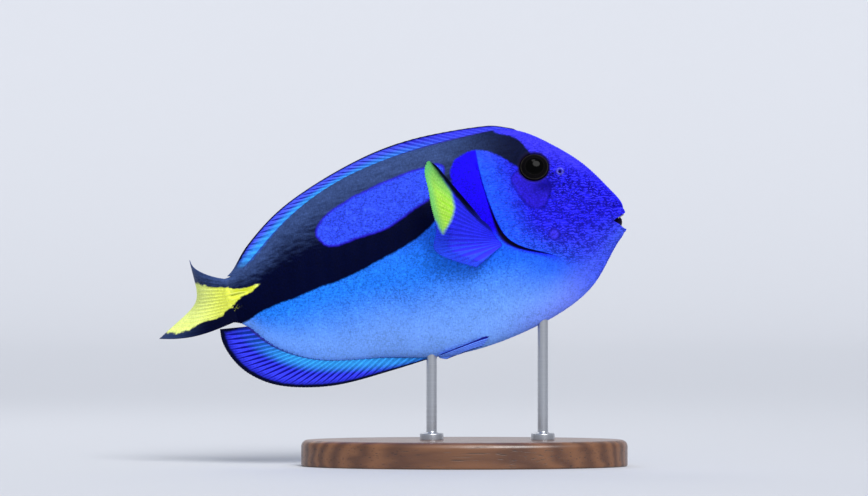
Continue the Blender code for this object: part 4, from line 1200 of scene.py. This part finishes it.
PECTORAL_PATCH = (
    (68.6, 37.5), (65.5, 27.7), (64.0, 23.5), (63.7, 19.6), (64.3, 15.8), (66.0, 12.3), (69.0, 9.1),
    (70.4, 8.2), (71.7, 13.1), (73.5, 19.0), (75, 29.1), (74, 37.5),
)
PELVIC_ROOT = ((0, 61.5, -33.4), (0.5, 63, -35.2), (1, 64.8, -36.6))
PELVIC_EDGE = ((0, 80.6, -36.6), (0.5, 81.2, -37.8), (1, 78.6, -38.9))
PELVIC_OUT = 1.2
FIN_SINK = 1.0  # how deep a fin's root lies under the skin
VIEW_WIDTH = 0.3296  # metres seen across the picture at the fish's middle


def dorsal_membrane():
    edge_z, fold = smooth_curve(DORSAL_EDGE), smooth_curve(DORSAL_FOLD)

    def station(u):
        return DORSAL_START + (DORSAL_END - DORSAL_START) * u

    return straight(
        lambda u: upright(station(u), back(station(u)) - FIN_SINK),
        lambda u: upright(station(u) + fold(u), edge_z(station(u) + fold(u))),
    )


def anal_membrane():
    """Rays that stand closer together towards the tail."""
    edge_at = smooth_curve(ANAL_EDGE)

    def share(u):
        return u * (1.35 - 0.35 * u)

    def root(u):
        s = ANAL_START + (ANAL_END - ANAL_START) * share(u)
        return upright(s, belly(s) + FIN_SINK)

    return straight(root, lambda u: upright(*np.moveaxis(edge_at(share(u)), -1, 0)))


def caudal_membrane():
    """Rays that start straight back and turn left and up evenly along their length."""
    length = smooth_curve(CAUDAL_RAY_LENGTH)
    swing, rise = smooth_curve(CAUDAL_SWING), smooth_curve(CAUDAL_RISE)

    def mean_cosine(turn):
        return np.sinc(turn / math.pi)

    def mean_sine(turn):
        return turn / 2 * np.sinc(turn / (2 * math.pi)) ** 2

    def membrane_at(u, v):
        z = CAUDAL_ROOT_LOW + (CAUDAL_ROOT_HIGH - CAUDAL_ROOT_LOW) * u
        left, up = np.radians(swing(u)) * v, np.radians(rise(u)) * v
        backwards = (mean_cosine(left + up) + mean_cosine(left - up)) / 2
        sideways = (mean_sine(left + up) + mean_sine(left - up)) / 2
        reach = (length(u) * v)[..., None] * np.stack([backwards, sideways, mean_sine(up)], -1)
        bow = CAUDAL_BOW * np.sin(math.pi * np.clip(v, 0, 1)) * (u**3 - (1 - u) ** 3)
        return upright(np.full_like(z, BODY_LENGTH), z + bow) + reach

    return membrane_at


def pectoral_membrane(side):
    root_at, edge_at = smooth_curve(PECTORAL_ROOT), smooth_curve(PECTORAL_EDGE)
    out = smooth_curve(PECTORAL_OUT)

    def membrane_at(u, v):
        s, z = np.moveaxis(root_at(u), -1, 0)
        start = np.stack([s, side * half_width(s, z), z], -1)
        end = np.insert(edge_at(u), 1, start[..., 1], axis=-1)
        points = start + (end - start) * v[..., None]
        points[..., 1] += side * out(u) * (1.25 * v - 0.25 * v**2)
        return points

    return membrane_at


def pelvic_membrane(side):
    root_at, edge_at = smooth_curve(PELVIC_ROOT), smooth_curve(PELVIC_EDGE)

    def membrane_at(u, v):
        s, z = np.moveaxis(root_at(u) + (edge_at(u) - root_at(u)) * v[..., None], -1, 0)
        lift = -0.6 + 1.4 * step(v, -0.05, 0.2) + PELVIC_OUT * v
        return np.stack([s, side * (half_width(s, z) + lift), z], -1)

    return membrane_at


class TANG_OT_middle_fins(PieceOperator):
    """Dorsal, anal and tail fin"""

    bl_idname = "tang.middle_fins"
    bl_label = "Middle fins"

    def make(self, look, settings):
        sizes = settings.sizes
        dorsal = fin_material("tang_dorsal", look, blue_fin_paint(
            look, look.dorsal_blue, 5.0, 0.85, 0.65, (0.1, 0.7, 1.0, 1.1), hidden=1.3, plain=0.45, dark_rear=0.08,
        ))
        fin_piece("dorsal_fin_rays", dorsal_membrane(), 42, 26, dorsal, sizes, 8, spines=13)
        anal = fin_material("tang_anal", look, blue_fin_paint(
            look, look.fin_blue, 7.0, 1.9, 0.6, (-0.4, 0.4, 0.68, 0.95), rear_highlight=0.7,
        ))
        fin_piece("anal_fin_rays", anal_membrane(), 33, 44, anal, sizes, spines=3)
        tail = fin_material("tang_tail", look, caudal_paint(look))
        fin_piece(
            "caudal_fin_rays", caudal_membrane(), 17, 60, tail, sizes, 12, sink=0.1, stem=4.5
        )


class TANG_OT_paired_fins(PieceOperator):
    """Pectoral and pelvic fins, on both sides"""

    bl_idname = "tang.paired_fins"
    bl_label = "Paired fins"

    def make(self, look, settings):
        sizes = settings.sizes

        def thin(tree, fin):
            """Clear along the margin below the yellow, most of all between the rays."""
            low = calculate(tree, "MULTIPLY", ramp(tree, fin["along"], 0.7, 0.8), ramp(tree, read(tree, "patch"), 0.0, -1.2))
            low = calculate(tree, "MULTIPLY", low, ramp(tree, fin["across"], 0.3, 0.4))
            gaps = calculate(tree, "MULTIPLY_ADD", fin["ray"], -0.3, 0.7)
            return calculate(tree, "SUBTRACT", 1.0, calculate(tree, "MULTIPLY", low, gaps))

        pectoral = fin_material("tang_pectoral", look, pectoral_paint(look), thin)
        pelvic = fin_material("tang_pelvic", look, pelvic_paint(look))
        for side, word in ((-1, "right"), (1, "left")):
            fin_piece(
                f"pectoral_fin_{word}_rays", pectoral_membrane(side), 16, 60, pectoral,
                sizes, 12, spines=1, sink=0.08, patch=PECTORAL_PATCH,
            )
            fin_piece(
                f"pelvic_fin_{word}_rays", pelvic_membrane(side), 6, 30, pelvic, sizes,
                spines=1, sink=0.05,
            )


class TANG_OT_eyes(PieceOperator):
    """Both eyes, as ovals with a raised cornea"""

    bl_idname = "tang.eyes"
    bl_label = "Eyes"

    def make(self, look, settings):
        material = eye_material(look)
        polar, turn = np.meshgrid(np.linspace(0, math.pi, 81), np.linspace(0, 2 * math.pi, 129), indexing="ij")
        turn[:, -1] = 0
        for side, word in ((-1, "right"), (1, "left")):
            axis = np.array([-EYE_AXIS.x, side * EYE_AXIS.y, EYE_AXIS.z])
            along = np.array([1, 0, 0]) - axis * axis[0]
            along /= np.linalg.norm(along)
            up = np.cross(axis, along)
            skin = np.array([EYE_S, side * float(half_width(EYE_S, EYE_Z)), EYE_Z])
            long, tall, deep = EYE_RADII
            bulge = deep * np.cos(polar) * (1 - 0.06 * np.sin(polar) ** 2)
            points = (long * np.sin(polar) * np.cos(turn))[..., None] * along
            points = points + (tall * np.sin(polar) * np.sin(turn))[..., None] * up
            points = points + bulge[..., None] * axis + skin - axis * EYE_DEPTH
            spokes = 0.5 + 0.5 * np.sin(38 * turn + 2.2 * np.sin(7 * turn))
            radius = np.where(polar < math.pi / 2, np.sin(polar), 1)
            values = {"radius": radius.ravel(), "spokes": spokes.ravel()}
            triangles = grid_triangles(*polar.shape)
            eye = mesh_piece(f"eye_ball_{word}", placed(points), triangles, material, values)
            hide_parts("eye_" + word)


class TANG_OT_teeth(PieceOperator):
    """The rows of small flat teeth in both jaws, and the folded spine on each side of the tail's stem"""

    bl_idname = "tang.teeth"
    bl_label = "Teeth and tail spines"

    def make(self, look, settings):
        enamel = bone_material("enamel", look.tooth, look.tooth_root)
        square = [(-1, -1), (1, -1), (1, 1), (-1, 1)]
        levels = ((0, 1, 1), (0.55, 1.06, 0.95), (0.9, 0.8, 0.55), (1, 0.45, 0.3))
        shape = np.array([(0.2 * deep * a, 0.24 * wide * b, up) for up, wide, deep in levels for a, b in square])
        sides = grid_triangles(len(levels), 4, wrap=True)
        caps = np.array([(0, 1, 2), (0, 2, 3), (12, 14, 13), (12, 15, 14)])
        jaws = (("upper", UPPER_LIP_Z, back, -1.3), ("lower", LOWER_LIP_Z, belly, 0.95))
        for jaw, front_z, edge, bite in jaws:
            roots = lip_path(front_z, edge, np.linspace(-0.6, 0.6, TEETH_PER_JAW)) * (1, 0.9, 1)
            points = roots[:, None] + shape[None] * (1, 1, bite) + (0.6 + LIP_SET_BACK, 0, 0)
            offset = np.arange(len(roots))[:, None, None] * len(shape)
            triangles = (np.concatenate([sides, caps])[None] + offset).reshape(-1, 3)
            mesh_piece(f"teeth_{jaw}", placed(points), triangles, enamel, smooth=False)
        ivory = bone_material("ivory", look.yellow, look.pale_yellow)
        share, turn = np.meshgrid(np.linspace(0, 1, 33), np.linspace(0, 2 * math.pi, 25), indexing="ij")
        turn[:, -1] = 0
        thick = SPINE_RADIUS * np.sqrt(share) * (1 - share**6)
        s = SPINE_S - SPINE_LENGTH + 2 * SPINE_LENGTH * share
        for side, word in ((-1, "right"), (1, "left")):
            z = SPINE_Z + 0.9 * thick * np.sin(turn) + 0.35 * np.sin(math.pi * share)
            y = side * (half_width(s, np.full_like(s, SPINE_Z)) - 0.25) + 0.8 * thick * np.cos(turn)
            mesh_piece(
                f"tail_spine_{word}", placed(np.stack([s, y, z], -1)), grid_triangles(*s.shape),
                ivory,
            )


def turned(profile, sides, radius_x, radius_y, x=0.0):
    """An upright turned solid in millimetres: each profile row is (inset, height), carried round an oval."""
    inset, height = np.array(profile, float).T[:, :, None]
    angle = np.linspace(0, 2 * math.pi, sides, endpoint=False)
    ring_x = x + (radius_x - inset) * np.cos(angle)
    ring_y = (radius_y - inset) * np.sin(angle)
    return np.stack([ring_x, ring_y, np.broadcast_to(height, ring_x.shape)], -1)


def underside(x, y):
    """The height of the fish's belly over points of the stand, found by halving."""
    low, high = np.full_like(x, 10.0), np.full_like(x, SNOUT_Z)
    for _ in range(40):
        middle = (low + high) / 2
        ahead, up = x - SNOUT_X, middle - SNOUT_Z
        s = -ahead * math.cos(HEAD_UP) - up * math.sin(HEAD_UP)
        z = up * math.cos(HEAD_UP) - ahead * math.sin(HEAD_UP)
        inside = np.abs(y) < half_width(s, z)
        low, high = np.where(inside, low, middle), np.where(inside, middle, high)
    return high


class TANG_OT_stand(PieceOperator):
    """The oval walnut base and the two steel rods"""

    bl_idname = "tang.stand"
    bl_label = "Stand"

    def make(self, look, settings):
        sizes = settings.sizes
        height, edge, chamfer = 10.0, 2.5, 0.8
        quarter = np.linspace(0, math.pi / 2, 9)
        round_edge = np.stack([edge * (1 - np.cos(quarter)), height - edge * (1 - np.sin(quarter))], -1)
        foot = np.stack([chamfer * (1 - np.sin(quarter)), chamfer * (1 - np.cos(quarter))], -1)
        inner = [(share * sizes.base_width / MM / 2, height) for share in (0.2, 0.45, 0.7)]
        profile = np.concatenate([[(chamfer + 0.01, 0)], foot, [(0, 2), (0, 5)], round_edge, inner])
        rings = turned(profile, 160, sizes.base_length / MM / 2, sizes.base_width / MM / 2)
        points = np.concatenate([0 * rings[:1] + rings[0].mean(0), rings, 0 * rings[:1] + rings[-1].mean(0)])
        triangles = grid_triangles(len(points), points.shape[1], wrap=True)
        base = mesh_piece("stand_oval", points * MM, triangles, wood_material(look))
        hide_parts("stand_base")
        steel = steel_material(look)
        radius, collar, collar_height, round_off = 2.0, 4.5, 2.5, 0.6
        foot_z = height + 0.05
        top = foot_z + collar_height
        turn = np.linspace(0, math.pi / 2, 6)
        shoulder = np.stack([round_off * (1 - np.cos(turn)), top - round_off * (1 - np.sin(turn))], -1)
        fillet = np.stack([collar - radius - 0.8 * (1 - np.sin(turn)), top + 0.8 * (1 - np.cos(turn))], -1)
        for word, s in (("front", 40.0), ("rear", 84.0)):
            x = SNOUT_X - s * math.cos(HEAD_UP) - float(belly(s)) * math.sin(HEAD_UP)
            steps = [(collar - radius, z) for z in (top + 2, top + 10, SNOUT_Z)]
            rings = turned(np.concatenate([[(0, foot_z)], shoulder, fillet, steps]), 48, collar, collar, x)
            rings[-1, :, 2] = underside(rings[-1, :, 0], rings[-1, :, 1]) + 0.1
            ends = [0 * rings[:1] + ring.mean(0) for ring in (rings[0], rings[-1])]
            points = np.concatenate([ends[0], rings, ends[1]])
            triangles = grid_triangles(len(points), 48, wrap=True)
            rod = mesh_piece(f"stand_pin_{word}", points * MM, triangles, steel)
            rod.data.set_sharp_from_angle(angle=math.radians(40))
            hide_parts("stand_rod_" + word)
        base.data.set_sharp_from_angle(angle=math.radians(50))


def area_light(name, place, target, size, power, colour=(1, 1, 1)):
    light = bpy.data.lights.new(name, "AREA")
    light.shape, light.size, light.energy, light.color = "DISK", size, power, colour
    lamp = bpy.data.objects.new(name, light)
    lamp.location = place
    lamp.rotation_euler = (Vector(target) - Vector(place)).to_track_quat("-Z", "Y").to_euler()
    bpy.context.scene.collection.objects.link(lamp)


class TANG_OT_stage(PieceOperator):
    """Pale floor that curves up behind, soft lights and the camera at the photo's viewing angle"""

    bl_idname = "tang.stage"
    bl_label = "Stage"

    def make(self, look, settings):
        scene = bpy.context.scene
        stage = settings.stage
        turn = np.linspace(0, math.pi / 2, 25)
        bend, far, high = 1.2, 3.4, 6.0
        flat = [(-6.0, 0.0), (-2.0, 0.0), (0.0, 0.0), (1.0, 0.0)]
        curve = np.stack([far - bend + bend * np.sin(turn), bend * (1 - np.cos(turn))], -1)
        profile = np.concatenate([flat, curve, [(far, high)]])
        x = np.linspace(-6, 6, 13)
        points = np.stack(np.broadcast_arrays(x[None], profile[:, :1], profile[:, 1:]), -1)
        material, tree, shader = new_material("floor", 0.75, specular_ior_level=0.2)
        grain = noise(tree, place_of(tree), 60, 2)
        tint = blend(tree, calculate(tree, "MULTIPLY", grain, 0.03), tuple(stage.floor), (0.5, 0.5, 0.5, 1))
        tree.links.new(tint, shader.inputs["Base Color"])
        mesh = bpy.data.meshes.new("floor")
        mesh.from_pydata(points.reshape(-1, 3).tolist(), [], grid_triangles(*points.shape[:2]).tolist())
        mesh.shade_smooth()
        mesh.materials.append(material)
        floor = bpy.data.objects.new("floor", mesh)
        scene.collection.objects.link(floor)

        world = bpy.data.worlds.new("studio")
        world.use_nodes = True
        world.node_tree.nodes["Background"].inputs["Color"].default_value = (0.82, 0.88, 1.0, 1)
        world.node_tree.nodes["Background"].inputs["Strength"].default_value = stage.room
        scene.world = world
        middle = (-0.01, 0, 0.08)
        sun = bpy.data.lights.new("sun", "SUN")
        sun.energy, sun.angle = stage.sun, math.radians(28)
        lamp = bpy.data.objects.new("sun", sun)
        lamp.rotation_euler = Vector((-0.25, 0.7, -0.66)).to_track_quat("-Z", "Y").to_euler()
        scene.collection.objects.link(lamp)
        area_light("key", (0.05, -0.3, 0.62), middle, 0.14, stage.key)
        area_light("behind", (-0.25, 0.45, 0.5), middle, 0.4, stage.key)
        scene.view_settings.view_transform = "Standard"

        camera = bpy.data.objects.new("camera", bpy.data.cameras.new("camera"))
        camera.data.lens, camera.data.sensor_width = stage.lens, 36
        camera.location = (-0.01155, -VIEW_WIDTH * stage.lens / 36, 0.0828)
        camera.rotation_euler = (math.pi / 2, 0, 0)
        camera.data.clip_start = 0.01
        scene.collection.objects.link(camera)
        scene.camera = camera


class TANG_PT_model(bpy.types.Panel):
    """Lists the settings and the steps that make the model"""

    bl_label = "Regal blue tang"
    bl_space_type = "VIEW_3D"
    bl_region_type = "UI"
    bl_category = "Tang"

    def draw(self, context):
        settings = context.scene.tang
        for group in (settings.colours, settings.sizes, settings.stage):
            for label in type(group).__annotations__:
                self.layout.prop(group, label)
        for operator in OPERATORS:
            self.layout.operator(operator.bl_idname)


OPERATORS = (
    TANG_OT_skin, TANG_OT_scales, TANG_OT_middle_fins, TANG_OT_paired_fins, TANG_OT_eyes,
    TANG_OT_teeth, TANG_OT_stand, TANG_OT_stage,
)
CLASSES = (TangColours, TangSizes, TangStage, TangSettings, *OPERATORS, TANG_PT_model)


def register():
    for item in CLASSES:
        bpy.utils.register_class(item)
    bpy.types.Scene.tang = PointerProperty(type=TangSettings)


def unregister():
    del bpy.types.Scene.tang
    for item in reversed(CLASSES):
        bpy.utils.unregister_class(item)


def main():
    register()
    for operator in OPERATORS:
        group, _, action = operator.bl_idname.partition(".")
        getattr(getattr(bpy.ops, group), action)()


if __name__ == "__main__":
    main()
